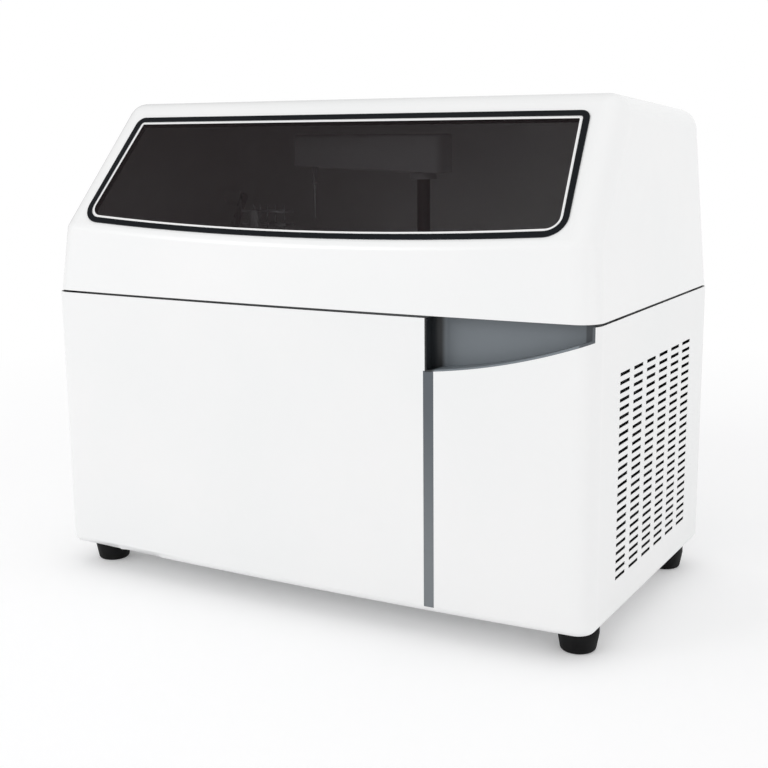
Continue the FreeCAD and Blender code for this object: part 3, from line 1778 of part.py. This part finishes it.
def make_nodes():
    """Every piece of the analyser by its node's name."""
    rear_screws = [make_rear_screws(), make_fan_screws(), make_hinge_screws(-1)]
    return {
        "base_casing": make_base_casing(),
        "grip_liner": make_grip_liner(),
        "front_strip": make_front_strip(),
        "rear_panel": make_rear_panel(),
        "rear_screws": group(rear_screws),
        "bottom_pan": make_bottom_pan(),
        "rubber_feet": group([make_foot(x, y) for x, y in foot_places()]),
        "foot_screws": make_foot_screws(),
        "deck_plate": make_deck(),
        "deck_rails": make_deck_rails(),
        "cover_buffers": make_cover_buffers(),
        "casing_hinges": group([make_hinge_leaves(-1), make_hinge_pins()]),
        "cover_shell": make_cover_shell(),
        "window_border": make_window_border(),
        "window_stripe": stripe_ring(),
        "window_pane": make_window_pane(),
        "cover_hinges": make_hinge_leaves(1),
        "cover_screws": make_hinge_screws(1),
        "stay_pivots": make_stay_pivots(),
        "stay_brackets": group([make_stay_bracket(-1), make_stay_bracket(1)]),
        "left_stay": make_stay(-1),
        "right_stay": make_stay(1),
        "arm_post": make_arm_post(),
        "arm_plate": make_arm_plate(),
        "arm_cover": make_arm_cover(),
        "probe_guide": make_probe_guide(),
        "probe": make_probe(),
        "post_bush": make_post_bush(),
        "guide_rods": make_guide_rods(),
        "drive_frame": make_drive_frame(),
        "lift_motor": make_lift_motor(),
        "lift_carriage": make_lift_carriage(),
        "lift_spindle": make_lift_spindle(),
        "swing_motor": make_swing_motor(),
        "wash_well": make_wash_well(),
        "sample_bowl": make_sample_bowl(),
        "sample_carousel": make_sample_carousel(),
        "sample_motor": joined([make_sample_motor(), make_sample_shaft()]),
        "incubator_bowl": make_incubator(),
        "cuvette_ring": make_cuvette_ring(),
        "cuvette_rotor": make_rotor(),
        "rotor_motor": joined([make_rotor_motor(), make_rotor_shaft()]),
        "wash_head": make_wash_head(),
        "wash_needles": make_wash_needles(),
        "wash_post": joined([make_wash_post(), make_wash_motor()]),
        "lamp_house": make_lamp_house(),
        "syringe_stand": make_syringe_body(),
        "syringe_barrel": make_syringe_barrel(),
        "syringe_plunger": make_syringe_plunger(),
        "pump_body": make_pump_body(),
        "pump_rotor": make_pump_rotor(),
        "main_board": make_board(),
        "power_supply": make_power_supply(),
        "fan_frame": make_fan_frame(),
        "fan_rotor": make_fan_rotor(),
        "fan_guard": make_fan_guard(),
        "power_inlet": make_power_inlet(),
        "power_switch": make_switch_frame(),
        "power_rocker": make_rocker(),
        "fluid_fittings": make_fittings(),
    }


def main():
    os.makedirs("parts", exist_ok=True)
    for name, shape in make_nodes().items():
        shape.exportStep("parts/" + name + ".step")


main()
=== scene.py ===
import bpy
import bmesh
import math
from mathutils import Matrix, Vector


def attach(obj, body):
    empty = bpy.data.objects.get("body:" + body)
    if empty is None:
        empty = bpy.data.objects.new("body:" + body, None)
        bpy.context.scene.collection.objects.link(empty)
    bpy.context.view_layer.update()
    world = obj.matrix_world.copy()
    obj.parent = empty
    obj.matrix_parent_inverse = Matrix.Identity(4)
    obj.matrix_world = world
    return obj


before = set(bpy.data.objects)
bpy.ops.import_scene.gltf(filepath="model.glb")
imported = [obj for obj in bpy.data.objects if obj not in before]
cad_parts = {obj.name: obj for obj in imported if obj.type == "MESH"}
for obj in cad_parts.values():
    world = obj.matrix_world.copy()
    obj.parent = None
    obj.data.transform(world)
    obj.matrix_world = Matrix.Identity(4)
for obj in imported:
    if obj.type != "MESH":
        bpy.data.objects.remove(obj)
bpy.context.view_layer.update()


# Casing.
# One wrap-round shell of painted sheet, white outside with a fine orange peel. Its inner faces, the
# edges of its vent slots and its rim under the cover are dark grey: painted shade, for the dark
# inside and the gap under the cover.

def tone(red, green, blue):
    """A colour given in screen values from 0 to 255, as the shaders want it."""
    values = [level / 255 for level in (red, green, blue)]
    linear = [v / 12.92 if v <= 0.04045 else ((v + 0.055) / 1.055) ** 2.4 for v in values]
    return (*linear, 1)


class Finish:
    """A material with one Principled shader, and short ways to add and join nodes."""

    def __init__(self, name, color, roughness, metallic=0.0):
        self.material = bpy.data.materials.new(name)
        self.material.use_nodes = True
        self.tree = self.material.node_tree
        self.shader = self.tree.nodes["Principled BSDF"]
        self.put("Base Color", color)
        self.put("Roughness", roughness)
        self.put("Metallic", metallic)
        self.place = self.add("ShaderNodeTexCoord").outputs["Object"]

    def put(self, socket, value):
        self.shader.inputs[socket].default_value = value

    def feed(self, socket, value):
        self.tree.links.new(value, self.shader.inputs[socket])

    def fed(self, socket):
        return self.shader.inputs[socket].links[0].from_socket

    def add(self, kind, **settings):
        node = self.tree.nodes.new(kind)
        for name, value in settings.items():
            setattr(node, name, value)
        return node

    def join(self, start, end):
        self.tree.links.new(start, end)

    def set_in(self, socket, value):
        if isinstance(value, bpy.types.NodeSocket):
            self.join(value, socket)
        elif value is not None:
            socket.default_value = value

    def math(self, operation, first, second=0.0):
        node = self.add("ShaderNodeMath", operation=operation)
        self.set_in(node.inputs[0], first)
        self.set_in(node.inputs[1], second)
        return node.outputs[0]

    def along(self, start, way):
        """How far a place is from the origin along one way."""
        node = self.add("ShaderNodeVectorMath", operation="DOT_PRODUCT")
        self.set_in(node.inputs[0], start)
        self.set_in(node.inputs[1], way)
        return node.outputs["Value"]

    def ramp(self, value, start, stop, low=0.0, high=1.0, kind="LINEAR"):
        node = self.add("ShaderNodeMapRange", interpolation_type=kind)
        ends = {"From Min": start, "From Max": stop, "To Min": low, "To Max": high}
        for name, level in ends.items():
            node.inputs[name].default_value = level
        self.join(value, node.inputs["Value"])
        return node.outputs["Result"]

    def mix(self, mask, first, second):
        node = self.add("ShaderNodeMix", data_type="RGBA")
        for name, value in (("Factor_Float", mask), ("A_Color", first), ("B_Color", second)):
            self.set_in(next(s for s in node.inputs if s.identifier == name), value)
        return next(s for s in node.outputs if s.identifier == "Result_Color")

    def group(self, group, scale, low, high):
        node = self.add("ShaderNodeGroup", node_tree=group)
        for name, value in (("Scale", scale), ("Low", low), ("High", high)):
            node.inputs[name].default_value = value
        self.join(self.place, node.inputs["Place"])
        return node

    def relief(self, height, distance, strength=1.0):
        bump = self.add("ShaderNodeBump")
        bump.inputs["Strength"].default_value = strength
        bump.inputs["Distance"].default_value = distance
        self.join(height, bump.inputs["Height"])
        self.feed("Normal", bump.outputs["Normal"])

    def on(self, *names):
        for name in names:
            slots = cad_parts[name].data.materials
            slots.clear()
            slots.append(self.material)


def new_group(name, scale, low, high):
    """A shader node group that gives a surface its height, roughness and shade."""
    group = bpy.data.node_groups.new(name, "ShaderNodeTree")
    group.interface.new_socket("Place", in_out="INPUT", socket_type="NodeSocketVector")
    for label, start in (("Scale", scale), ("Low", low), ("High", high)):
        socket = group.interface.new_socket(label, in_out="INPUT", socket_type="NodeSocketFloat")
        socket.default_value = start
    for label in ("Height", "Roughness", "Shade"):
        group.interface.new_socket(label, in_out="OUTPUT", socket_type="NodeSocketFloat")
    return group, group.nodes.new("NodeGroupInput"), group.nodes.new("NodeGroupOutput")


def noise_in(group, entry, scale, detail=3.0, stretch=(1, 1, 1)):
    """A noise texture inside a group, on the group's place."""
    mapping = group.nodes.new("ShaderNodeMapping")
    mapping.inputs["Scale"].default_value = stretch
    group.links.new(entry.outputs["Place"], mapping.inputs["Vector"])
    noise = group.nodes.new("ShaderNodeTexNoise")
    noise.inputs["Detail"].default_value = detail
    group.links.new(mapping.outputs["Vector"], noise.inputs["Vector"])
    if isinstance(scale, str):
        group.links.new(entry.outputs[scale], noise.inputs["Scale"])
    else:
        noise.inputs["Scale"].default_value = scale
    return noise.outputs["Fac"]


def spread_in(group, value, low, high):
    """Maps a noise's middle range onto low to high."""
    node = group.nodes.new("ShaderNodeMapRange")
    node.inputs["From Min"].default_value = 0.3
    node.inputs["From Max"].default_value = 0.7
    for name, level in (("To Min", low), ("To Max", high)):
        if isinstance(level, bpy.types.NodeSocket):
            group.links.new(level, node.inputs[name])
        else:
            node.inputs[name].default_value = level
    group.links.new(value, node.inputs["Value"])
    return node.outputs["Result"]


def texture_group(
    name, start, height_detail, rough_scale, rough_detail, shade_scale, stretch=(1, 1, 1)
):
    """A group whose height is a fine noise, and whose roughness and shade wander more slowly."""
    group, entry, leave = new_group(name, *start)
    height = noise_in(group, entry, "Scale", height_detail, stretch)
    rough = noise_in(group, entry, rough_scale, rough_detail, stretch)
    shade = noise_in(group, entry, shade_scale, 2.0)
    group.links.new(height, leave.inputs["Height"])
    roughness = spread_in(group, rough, entry.outputs["Low"], entry.outputs["High"])
    group.links.new(roughness, leave.inputs["Roughness"])
    group.links.new(spread_in(group, shade, 0.0, 1.0), leave.inputs["Shade"])
    return group


def finished(name, group, first, second, low, high, names, scale, depth, strength, metallic=0.0):
    """A finish of two near shades with the group's roughness and relief, on the named nodes."""
    finish = Finish(name, first, low, metallic)
    texture = finish.group(group, scale, low, high)
    finish.feed("Base Color", finish.mix(texture.outputs["Shade"], first, second))
    finish.feed("Roughness", texture.outputs["Roughness"])
    finish.relief(texture.outputs["Height"], depth, strength)
    finish.on(*names)
    return finish


peel = texture_group("orange peel", (420.0, 0.3, 0.4), 3.0, 18.0, 4.0, 5.0)


def painted(name, first, second, low, high, *names, scale=420.0, depth=0.0002, strength=0.15):
    return finished(name, peel, first, second, low, high, names, scale, depth, strength)


half_width = 0.345
front_line = -0.1955
rear_line = 0.1945
front_bow = 0.009
underside = 0.031
floor_level = 0.044
rim_height = 0.3455
corner_radius = 0.02
lower_radius = 0.008
wall_middle = 0.0015
rim_shade_edge = 0.0006
slot_edge = 0.0004
slot_reach = 0.17


def rounded(finish, first, second, radius):
    """How far outside a rounded corner a point is, from its distance to the two faces."""
    near = finish.math("MAXIMUM", finish.math("ADD", first, radius), 0.0)
    far = finish.math("MAXIMUM", finish.math("ADD", second, radius), 0.0)
    squares = finish.math("ADD", finish.math("POWER", near, 2.0), finish.math("POWER", far, 2.0))
    further = finish.math("MAXIMUM", first, second)
    deep = finish.math("MINIMUM", finish.math("ADD", further, radius), 0.0)
    return finish.math("SUBTRACT", finish.math("ADD", finish.math("SQRT", squares), deep), radius)


def inner_shade_mask(finish):
    """One on the casing's inner faces, slot edges and rim, where shade is painted; zero on the
    outer faces.
    """
    split = finish.add("ShaderNodeSeparateXYZ")
    finish.join(finish.place, split.inputs[0])
    x, y, z = split.outputs
    share = finish.math("POWER", finish.math("DIVIDE", finish.math("ABSOLUTE", x), half_width), 2.0)
    bow = finish.math("MULTIPLY", finish.math("SUBTRACT", 1.0, share), front_bow)
    before = finish.math("SUBTRACT", finish.math("SUBTRACT", front_line, bow), y)
    behind = finish.math("SUBTRACT", y, rear_line)
    beside = finish.math("SUBTRACT", finish.math("ABSOLUTE", x), half_width)
    around = rounded(finish, beside, finish.math("MAXIMUM", before, behind), corner_radius)
    depth = rounded(finish, around, finish.math("SUBTRACT", underside, z), lower_radius)
    above_floor = finish.math("GREATER_THAN", z, floor_level)
    on_rim = finish.math("GREATER_THAN", z, rim_height)
    walls = finish.math("MULTIPLY", finish.math("LESS_THAN", z, rim_height), above_floor)
    inner = finish.math("MULTIPLY", finish.math("LESS_THAN", depth, -wall_middle), walls)
    # Painted shade on the rim, for the dark gap under the cover.
    rim_shade = finish.math("MULTIPLY", finish.math("LESS_THAN", around, -rim_shade_edge), on_rim)
    slots = finish.math("MULTIPLY", finish.math("LESS_THAN", beside, -slot_edge), walls)
    near_slots = finish.math("LESS_THAN", finish.math("ABSOLUTE", y), slot_reach)
    slots = finish.math("MULTIPLY", slots, near_slots)
    return finish.math("MAXIMUM", finish.math("MAXIMUM", inner, rim_shade), slots)


casing_paint = painted(
    "casing paint", tone(249, 250, 250), tone(252, 252, 252), 0.32, 0.4, "base_casing",
    scale=380.0, strength=0.12,
)
casing_white = casing_paint.fed("Base Color")
# The casing's inner faces, slot edges and rim take a dark grey: painted shade.
casing_color = casing_paint.mix(inner_shade_mask(casing_paint), casing_white, tone(22, 22, 23))
casing_paint.feed("Base Color", casing_color)


# Rear panel.
# Pressed steel sheet in a light grey powder coat, coarser than the casing's paint. Ten screws hold
# it over the opening in the casing's back.

painted(
    "panel powder coat", tone(203, 206, 208), tone(210, 213, 215), 0.42, 0.54, "rear_panel",
    scale=520.0, strength=0.2,
)


# Cover.
# A moulded shell of the same white, smoother than the casing, with soft edges all round. It turns
# on two hinges at the back, and its seat for the window is masked black.

knee_place = (0.0, -0.18681, 0.4275)
slope_up = (0.0, 0.6446, 0.7646)
slope_out = (0.0, -0.7646, 0.6446)
seat_side = 0.3155
seat_taper = 0.0845
seat_foot = 0.02
seat_head = 0.17
seat_top = -0.0026
seat_floor = -0.0085


def window_seat(finish):
    """One on the seat that the window lies in, zero on the rest of the shell."""
    from_knee = finish.add("ShaderNodeVectorMath", operation="SUBTRACT")
    finish.join(finish.place, from_knee.inputs[0])
    from_knee.inputs[1].default_value = knee_place
    place = from_knee.outputs[0]
    across = finish.math("ABSOLUTE", finish.along(place, (1.0, 0.0, 0.0)))
    rise = finish.along(place, slope_up)
    depth = finish.along(place, slope_out)
    leaning = finish.math("ADD", across, finish.math("MULTIPLY", rise, seat_taper))
    mask = finish.math("LESS_THAN", leaning, seat_side)
    for test, value, level in (
        ("GREATER_THAN", rise, seat_foot), ("LESS_THAN", rise, seat_head),
        ("LESS_THAN", depth, seat_top), ("GREATER_THAN", depth, seat_floor),
    ):
        mask = finish.math("MULTIPLY", mask, finish.math(test, value, level))
    return mask


cover_gloss = painted(
    "cover gloss", tone(250, 251, 251), tone(253, 253, 253), 0.2, 0.27, "cover_shell",
    scale=160.0, strength=0.05,
)
cover_white = cover_gloss.fed("Base Color")
cover_color = cover_gloss.mix(window_seat(cover_gloss), cover_white, tone(16, 16, 18))
cover_gloss.feed("Base Color", cover_color)


# Window.
# A smoked acrylic pane in a black lacquered frame that stands just proud of the cover. A thin white
# line is printed into the pane's edge. The pane is clearer towards its right and its foot: painted
# light, for the brighter inside there.

frame_black = painted(
    "window frame black", tone(18, 21, 25), tone(22, 25, 29), 0.18, 0.28, "window_border",
    scale=300.0, depth=0.0001, strength=0.06,
)
frame_black.put("Specular IOR Level", 0.15)

painted(
    "window line white", tone(253, 253, 253), tone(255, 255, 255), 0.35, 0.45, "window_stripe",
    scale=500.0, depth=0.0001, strength=0.05,
)

smoked = painted(
    "smoked acrylic", tone(18, 8, 10), tone(19, 8, 10), 0.03, 0.07, "window_pane",
    scale=7.0, depth=0.0001, strength=0.02,
)
smoked.put("Specular Tint", (1.0, 0.88, 0.91, 1.0))
smoked.put("IOR", 1.49)
# Painted light: the pane lets more through towards its right and foot, where the inside is lit
# more.
clearer_way = smoked.along(smoked.place, (1.0, 0.0, -1.2))
smoked.feed("Alpha", smoked.ramp(clearer_way, -0.89, -0.24, 0.6, 0.34))


# Grip pocket and front strip.
# Both are moulded in a blue-grey plastic with a fine grain, and pressed into the casing's front.
# The pocket darkens at its two ends, painted shade in its end corners, and the strip from its foot
# to its head.

grain = texture_group("moulded grain", (900.0, 0.4, 0.55), 2.0, 30.0, 3.0, 9.0)


def moulded(name, first, second, low, high, *names, scale=900.0, depth=0.00015, strength=0.3):
    return finished(name, grain, first, second, low, high, names, scale, depth, strength)


def fade(finish, way, start, stop):
    """A soft step from zero to one along one way."""
    return finish.ramp(finish.along(finish.place, way), start, stop, kind="SMOOTHSTEP")


grip_grey = moulded("grip grey", tone(120, 127, 133), tone(124, 131, 137), 0.38, 0.48, "grip_liner")
grip_color = grip_grey.fed("Base Color")
# Painted shade: the pocket's right end goes darker and its left end nearly black.
right_end = grip_grey.mix(fade(grip_grey, (1, 0, 0), 0.3275, 0.3295), grip_color, tone(84, 89, 94))
left_end = grip_grey.mix(fade(grip_grey, (1, 0, 0), 0.1715, 0.1775), tone(20, 23, 26), right_end)
grip_grey.feed("Base Color", left_end)

strip_grey = moulded(
    "strip grey", tone(112, 119, 125), tone(120, 127, 132), 0.3, 0.4, "front_strip",
)
strip_height = fade(strip_grey, (0, 0, 1), 0.06, 0.28)
strip_shade = strip_grey.mix(strip_height, tone(120, 125, 129), tone(88, 94, 100))
strip_grey.feed("Base Color", strip_shade)


# Feet and buffers.
# The feet are turned from black rubber and screwed up into the casing's floor. The buffers are
# short pads of the same rubber on the rim, which the cover comes down on.

rubber = moulded(
    "black rubber", tone(8, 8, 9), tone(14, 14, 15), 0.62, 0.78,
    "rubber_feet", "cover_buffers", scale=500.0,
)
rubber.put("Specular IOR Level", 0.2)


# Deck.
# A painted steel plate on two rails, with a bowl each for the sample carousel and the cuvettes.

painted(
    "deck paint", tone(192, 195, 198), tone(200, 203, 206), 0.38, 0.48,
    "deck_plate", "deck_rails", "sample_bowl", "incubator_bowl",
)


# Hinges, stays, screws, rods and guard.
# Bright drawn and rolled steel, with the fine lines that drawing leaves.

brushed = texture_group("drawn lines", (900.0, 0.24, 0.4), 2.0, 260.0, 2.0, 14.0, (1, 1, 0.04))


def drawn_metal(name, first, second, low, high, *names, scale=900.0):
    return finished(
        name, brushed, first, second, low, high, names, scale, 0.0001, 0.15, metallic=1.0
    )


drawn_metal(
    "bright steel", tone(196, 198, 200), tone(208, 210, 212), 0.22, 0.36,
    "rear_screws", "foot_screws", "casing_hinges", "cover_hinges", "cover_screws", "stay_pivots",
    "stay_brackets", "left_stay", "right_stay", "guide_rods", "lift_spindle", "fan_guard",
)


# Screw recesses.
# Each screw on the back and on the cover's hinges is driven by a cross recess in its head, drawn as
# a
# thin dark cross: painted shade for the hollow. The crosses ride with the screws that they belong
# to.

def screw_heads(node, way):
    """The top of each separate screw of a node, in the middle of its head."""
    copy = bmesh.new()
    copy.from_mesh(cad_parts[node].data)
    bmesh.ops.remove_doubles(copy, verts=copy.verts, dist=0.000001)
    left = set(copy.verts)
    tops = []
    while left:
        growing = [left.pop()]
        screw = set(growing)
        while growing:
            for edge in growing.pop().link_edges:
                for vert in edge.verts:
                    if vert in left:
                        left.discard(vert)
                        screw.add(vert)
                        growing.append(vert)
        low = Vector([min(v.co[axis] for v in screw) for axis in range(3)])
        high = Vector([max(v.co[axis] for v in screw) for axis in range(3)])
        middle = (low + high) / 2
        reach = max(v.co.dot(way) for v in screw)
        tops.append(middle + way * (reach - middle.dot(way)))
    copy.free()
    return tops


# Painted shade: the recess is a thin cross of dark steel on the head, in place of the shade in the
# hollow.
recess_shade_steel = finished(
    "recess steel", brushed, tone(28, 28, 30), tone(36, 36, 38), 0.45, 0.6, (),
    1500.0, 0.0001, 0.15, 1.0,
)
slot_share = 0.24
cross_height = 0.00012


def cross_recesses(name, body, node, size):
    """The crosses that a driver fits, one in each head of the node."""
    backward = Vector((0, 1, 0))
    turn = backward.to_track_quat("Z", "Y").to_matrix().to_4x4()
    form = bmesh.new()
    for top in screw_heads(node, backward):
        for angle in (0.0, math.pi / 2):
            arm = bmesh.ops.create_cube(form, size=1.0)["verts"]
            bmesh.ops.scale(form, verts=arm, vec=(size, size * slot_share, cross_height))
            bmesh.ops.rotate(form, verts=arm, cent=(0, 0, 0), matrix=Matrix.Rotation(angle, 3, "Z"))
            bmesh.ops.transform(form, verts=arm, matrix=Matrix.Translation(top) @ turn)
    bmesh.ops.bevel(
        form, geom=list(form.edges), offset=cross_height / 6, segments=1, profile=0.5,
        affect="EDGES", material=-1,
    )
    mesh = bpy.data.meshes.new(name)
    form.to_mesh(mesh)
    form.free()
    piece = bpy.data.objects.new(name, mesh)
    bpy.context.scene.collection.objects.link(piece)
    piece.data.materials.append(recess_shade_steel.material)
    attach(piece, body)


cross_recesses("rear_screw_crosses", "chassis", "rear_screws", 0.0038)
cross_recesses("cover_screw_crosses", "cover", "cover_screws", 0.0036)


# Probe arm.
# A moulded cover over an aluminium plate, on a black anodised post with a light collar under the
# cover. The probe is a steel tube in a moulded guide.

# The arm cover and probe guide are white plastic, coloured mid grey here: painted shade, for how
# dim they sit under the cover.
moulded(
    "arm white", tone(170, 171, 174), tone(180, 181, 184), 0.32, 0.42, "arm_cover", "probe_guide",
)
post_black = moulded("post black", tone(26, 27, 29), tone(34, 35, 37), 0.36, 0.5, "arm_post")
post_color = post_black.fed("Base Color")
collar_height = fade(post_black, (0, 0, 1), 0.4775, 0.4785)
collar = post_black.mix(collar_height, post_color, tone(170, 171, 174))
post_black.feed("Base Color", collar)
drawn_metal(
    "probe steel", tone(198, 200, 202), tone(208, 210, 212), 0.2, 0.32, "probe", scale=1400.0,
)
drawn_metal(
    "satin aluminium", tone(204, 206, 209), tone(214, 216, 218), 0.34, 0.46,
    "arm_plate", "lift_carriage", "cuvette_rotor", "wash_head",
)


# Wash head and well.
# Steel needles in two aluminium plates, on a steel post that lifts them out of the cuvettes, and a
# turned steel well that the probe rinses in.

drawn_metal(
    "wash steel", tone(196, 198, 200), tone(206, 208, 210), 0.24, 0.36,
    "wash_needles", "wash_post", "wash_well", scale=1200.0,
)


# Folded frames and pan.
# Zinc-plated steel sheet, duller than the drawn steel.

drawn_metal(
    "zinced sheet", tone(160, 163, 166), tone(176, 179, 182), 0.4, 0.55,
    "bottom_pan", "power_supply", "drive_frame", "syringe_stand", scale=200.0,
)


# Motors, pump, fan, inlet and switch.
# Black moulded plastic and black-lacquered motor cans, all screwed to the frames or to the panel.

moulded(
    "black plastic", tone(26, 27, 29), tone(34, 35, 37), 0.36, 0.5,
    "post_bush", "lift_motor", "swing_motor", "sample_motor", "rotor_motor", "pump_body",
    "fan_frame", "fan_rotor", "power_inlet", "power_switch", "power_rocker", "syringe_plunger",
)


# Lamp house.
# Cast aluminium with cooling fins, left with the grain of the mould.

moulded(
    "lamp casting", tone(150, 152, 155), tone(158, 160, 163), 0.4, 0.5, "lamp_house",
    scale=420.0, depth=0.0003,
)


# Carousel, pump rollers and hose fittings.
# Moulded in a pale plastic that wipes clean.

moulded(
    "pale plastic", tone(222, 224, 225), tone(230, 232, 232), 0.35, 0.48,
    "sample_carousel", "pump_rotor", "fluid_fittings",
)


# Circuit board.
# Glass laminate under a green lacquer, with the copper tracks just showing through it.

board_green = moulded(
    "board green", tone(24, 88, 58), tone(30, 100, 66), 0.4, 0.5, "main_board", scale=300.0,
)
tracks = board_green.add("ShaderNodeTexVoronoi", feature="DISTANCE_TO_EDGE")
tracks.inputs["Scale"].default_value = 160.0
board_green.join(board_green.place, tracks.inputs["Vector"])
track = board_green.math("LESS_THAN", tracks.outputs["Distance"], 0.06)
lacquer = board_green.fed("Base Color")
board_green.feed("Base Color", board_green.mix(track, lacquer, tone(64, 132, 88)))


# Cuvettes and syringe barrel.
# Clear plastic cuvettes, moulded in one ring, and a glass barrel, both faintly blue at the edges.

clear = painted(
    "clear plastic", tone(224, 235, 237), tone(230, 238, 240), 0.05, 0.12,
    "cuvette_ring", "syringe_barrel", scale=60.0, depth=0.0001, strength=0.03,
)
clear.put("Transmission Weight", 0.85)
clear.put("IOR", 1.49)


# Studio.
# A white floor that fades into an even white sky, with a soft lamp at the front left and a weak one
# at the right. Mirrors see a darker patch of ceiling, which the smoked pane needs to look dark.

floor_mesh = bpy.data.meshes.new("studio_floor")
floor_form = bmesh.new()
bmesh.ops.create_grid(floor_form, x_segments=1, y_segments=1, size=12.0)
floor_form.to_mesh(floor_mesh)
floor_form.free()
floor = bpy.data.objects.new("studio_floor", floor_mesh)
bpy.context.scene.collection.objects.link(floor)


def studio_node(tree, kind, **values):
    """A node of the floor or the sky, with its operation and its inputs set."""
    node = tree.nodes.new(kind)
    for name, value in values.items():
        if name == "operation":
            node.operation = value
        else:
            node.inputs[name.replace("_", " ")].default_value = value
    return node


def shown(tree):
    """One for what the camera, a mirror or glass shows, zero for the light on the object."""
    ray = tree.nodes.new("ShaderNodeLightPath")
    first = studio_node(tree, "ShaderNodeMath", operation="MAXIMUM")
    second = studio_node(tree, "ShaderNodeMath", operation="MAXIMUM")
    tree.links.new(ray.outputs["Is Camera Ray"], first.inputs[0])
    tree.links.new(ray.outputs["Is Glossy Ray"], first.inputs[1])
    tree.links.new(first.outputs[0], second.inputs[0])
    tree.links.new(ray.outputs["Is Transmission Ray"], second.inputs[1])
    return second.outputs[0]


floor_white = bpy.data.materials.new("studio floor white")
floor_white.use_nodes = True
tree = floor_white.node_tree
tree.nodes.clear()
matt = studio_node(tree, "ShaderNodeBsdfDiffuse", Color=(0.9, 0.9, 0.905, 1))
glow = studio_node(tree, "ShaderNodeEmission", Strength=0.17)
near = tree.nodes.new("ShaderNodeAddShader")
far = studio_node(tree, "ShaderNodeEmission", Strength=1.0)
place = tree.nodes.new("ShaderNodeTexCoord")
away = studio_node(tree, "ShaderNodeVectorMath", operation="LENGTH")
distance = studio_node(tree, "ShaderNodeMapRange", From_Min=0.8, From_Max=1.8)
blend = tree.nodes.new("ShaderNodeMixShader")
choice = tree.nodes.new("ShaderNodeMixShader")
surface = tree.nodes.new("ShaderNodeOutputMaterial")
tree.links.new(place.outputs["Object"], away.inputs[0])
tree.links.new(away.outputs["Value"], distance.inputs["Value"])
tree.links.new(matt.outputs[0], near.inputs[0])
tree.links.new(glow.outputs[0], near.inputs[1])
tree.links.new(distance.outputs["Result"], blend.inputs["Fac"])
tree.links.new(near.outputs[0], blend.inputs[1])
tree.links.new(far.outputs[0], blend.inputs[2])
tree.links.new(shown(tree), choice.inputs["Fac"])
tree.links.new(matt.outputs[0], choice.inputs[1])
tree.links.new(blend.outputs[0], choice.inputs[2])
tree.links.new(choice.outputs[0], surface.inputs["Surface"])
floor_mesh.materials.append(floor_white)

sky = bpy.data.worlds.new("studio sky")
bpy.context.scene.world = sky
sky.use_nodes = True
tree = sky.node_tree
tree.nodes.clear()
level = studio_node(tree, "ShaderNodeMapRange", To_Min=0.84, To_Max=1.0)
direction = tree.nodes.new("ShaderNodeTexCoord")
toward = studio_node(tree, "ShaderNodeVectorMath", operation="DOT_PRODUCT")
toward.inputs[1].default_value = (-0.75, 0.25, 0.6)
ceiling = studio_node(
    tree, "ShaderNodeMapRange", From_Min=0.5, From_Max=0.9, To_Min=1.0, To_Max=0.3,
)
mirror = tree.nodes.new("ShaderNodeLightPath")
shade = studio_node(tree, "ShaderNodeMix", A=1.0)
strength = studio_node(tree, "ShaderNodeMath", operation="MULTIPLY")
back = studio_node(tree, "ShaderNodeBackground", Color=(1, 1, 1, 1))
out = tree.nodes.new("ShaderNodeOutputWorld")
tree.links.new(shown(tree), level.inputs["Value"])
tree.links.new(direction.outputs["Generated"], toward.inputs[0])
tree.links.new(toward.outputs["Value"], ceiling.inputs["Value"])
tree.links.new(mirror.outputs["Is Glossy Ray"], shade.inputs["Factor"])
tree.links.new(ceiling.outputs["Result"], shade.inputs["B"])
tree.links.new(shade.outputs["Result"], strength.inputs[0])
tree.links.new(level.outputs["Result"], strength.inputs[1])
tree.links.new(strength.outputs[0], back.inputs["Strength"])
tree.links.new(back.outputs[0], out.inputs["Surface"])


def soft_lamp(name, place, aim, width, height, watts):
    """A rectangular lamp at place, turned to face aim."""
    data = bpy.data.lights.new(name, "AREA")
    data.shape = "RECTANGLE"
    data.size = width
    data.size_y = height
    data.energy = watts
    lamp = bpy.data.objects.new(name, data)
    lamp.location = place
    lamp.rotation_euler = (Vector(aim) - Vector(place)).to_track_quat("-Z", "Y").to_euler()
    bpy.context.scene.collection.objects.link(lamp)


soft_lamp("front lamp", (-2.0, -3.0, 1.6), (0, 0, 0.3), 1.4, 1.2, 17)
soft_lamp("side lamp", (3.2, -0.6, 1.2), (0.2, 0, 0.3), 2.4, 1.8, 6)


# Camera.
# It stands at the photograph's place, to the front right of the object and a little above it.

azimuth = math.radians(29.632)
drop = math.radians(11.248)
roll = math.radians(-0.577)
flat = math.cos(drop)
behind = Vector((math.sin(azimuth) * flat, -math.cos(azimuth) * flat, math.sin(drop)))
level_right = (-behind).cross(Vector((0, 0, 1))).normalized()
level_up = level_right.cross(-behind)
right = math.cos(roll) * level_right + math.sin(roll) * level_up
up = -math.sin(roll) * level_right + math.cos(roll) * level_up
camera_data = bpy.data.cameras.new("camera")
camera_data.lens = 59.55
camera_data.sensor_width = 36
camera_data.clip_start = 0.05
camera = bpy.data.objects.new("camera", camera_data)
turned = Matrix((right, up, behind)).transposed().to_4x4()
camera.matrix_world = Matrix.Translation((0.75873, -1.33123, 0.53192)) @ turned
bpy.context.scene.collection.objects.link(camera)
bpy.context.scene.camera = camera
bpy.context.scene.view_settings.view_transform = "Standard"
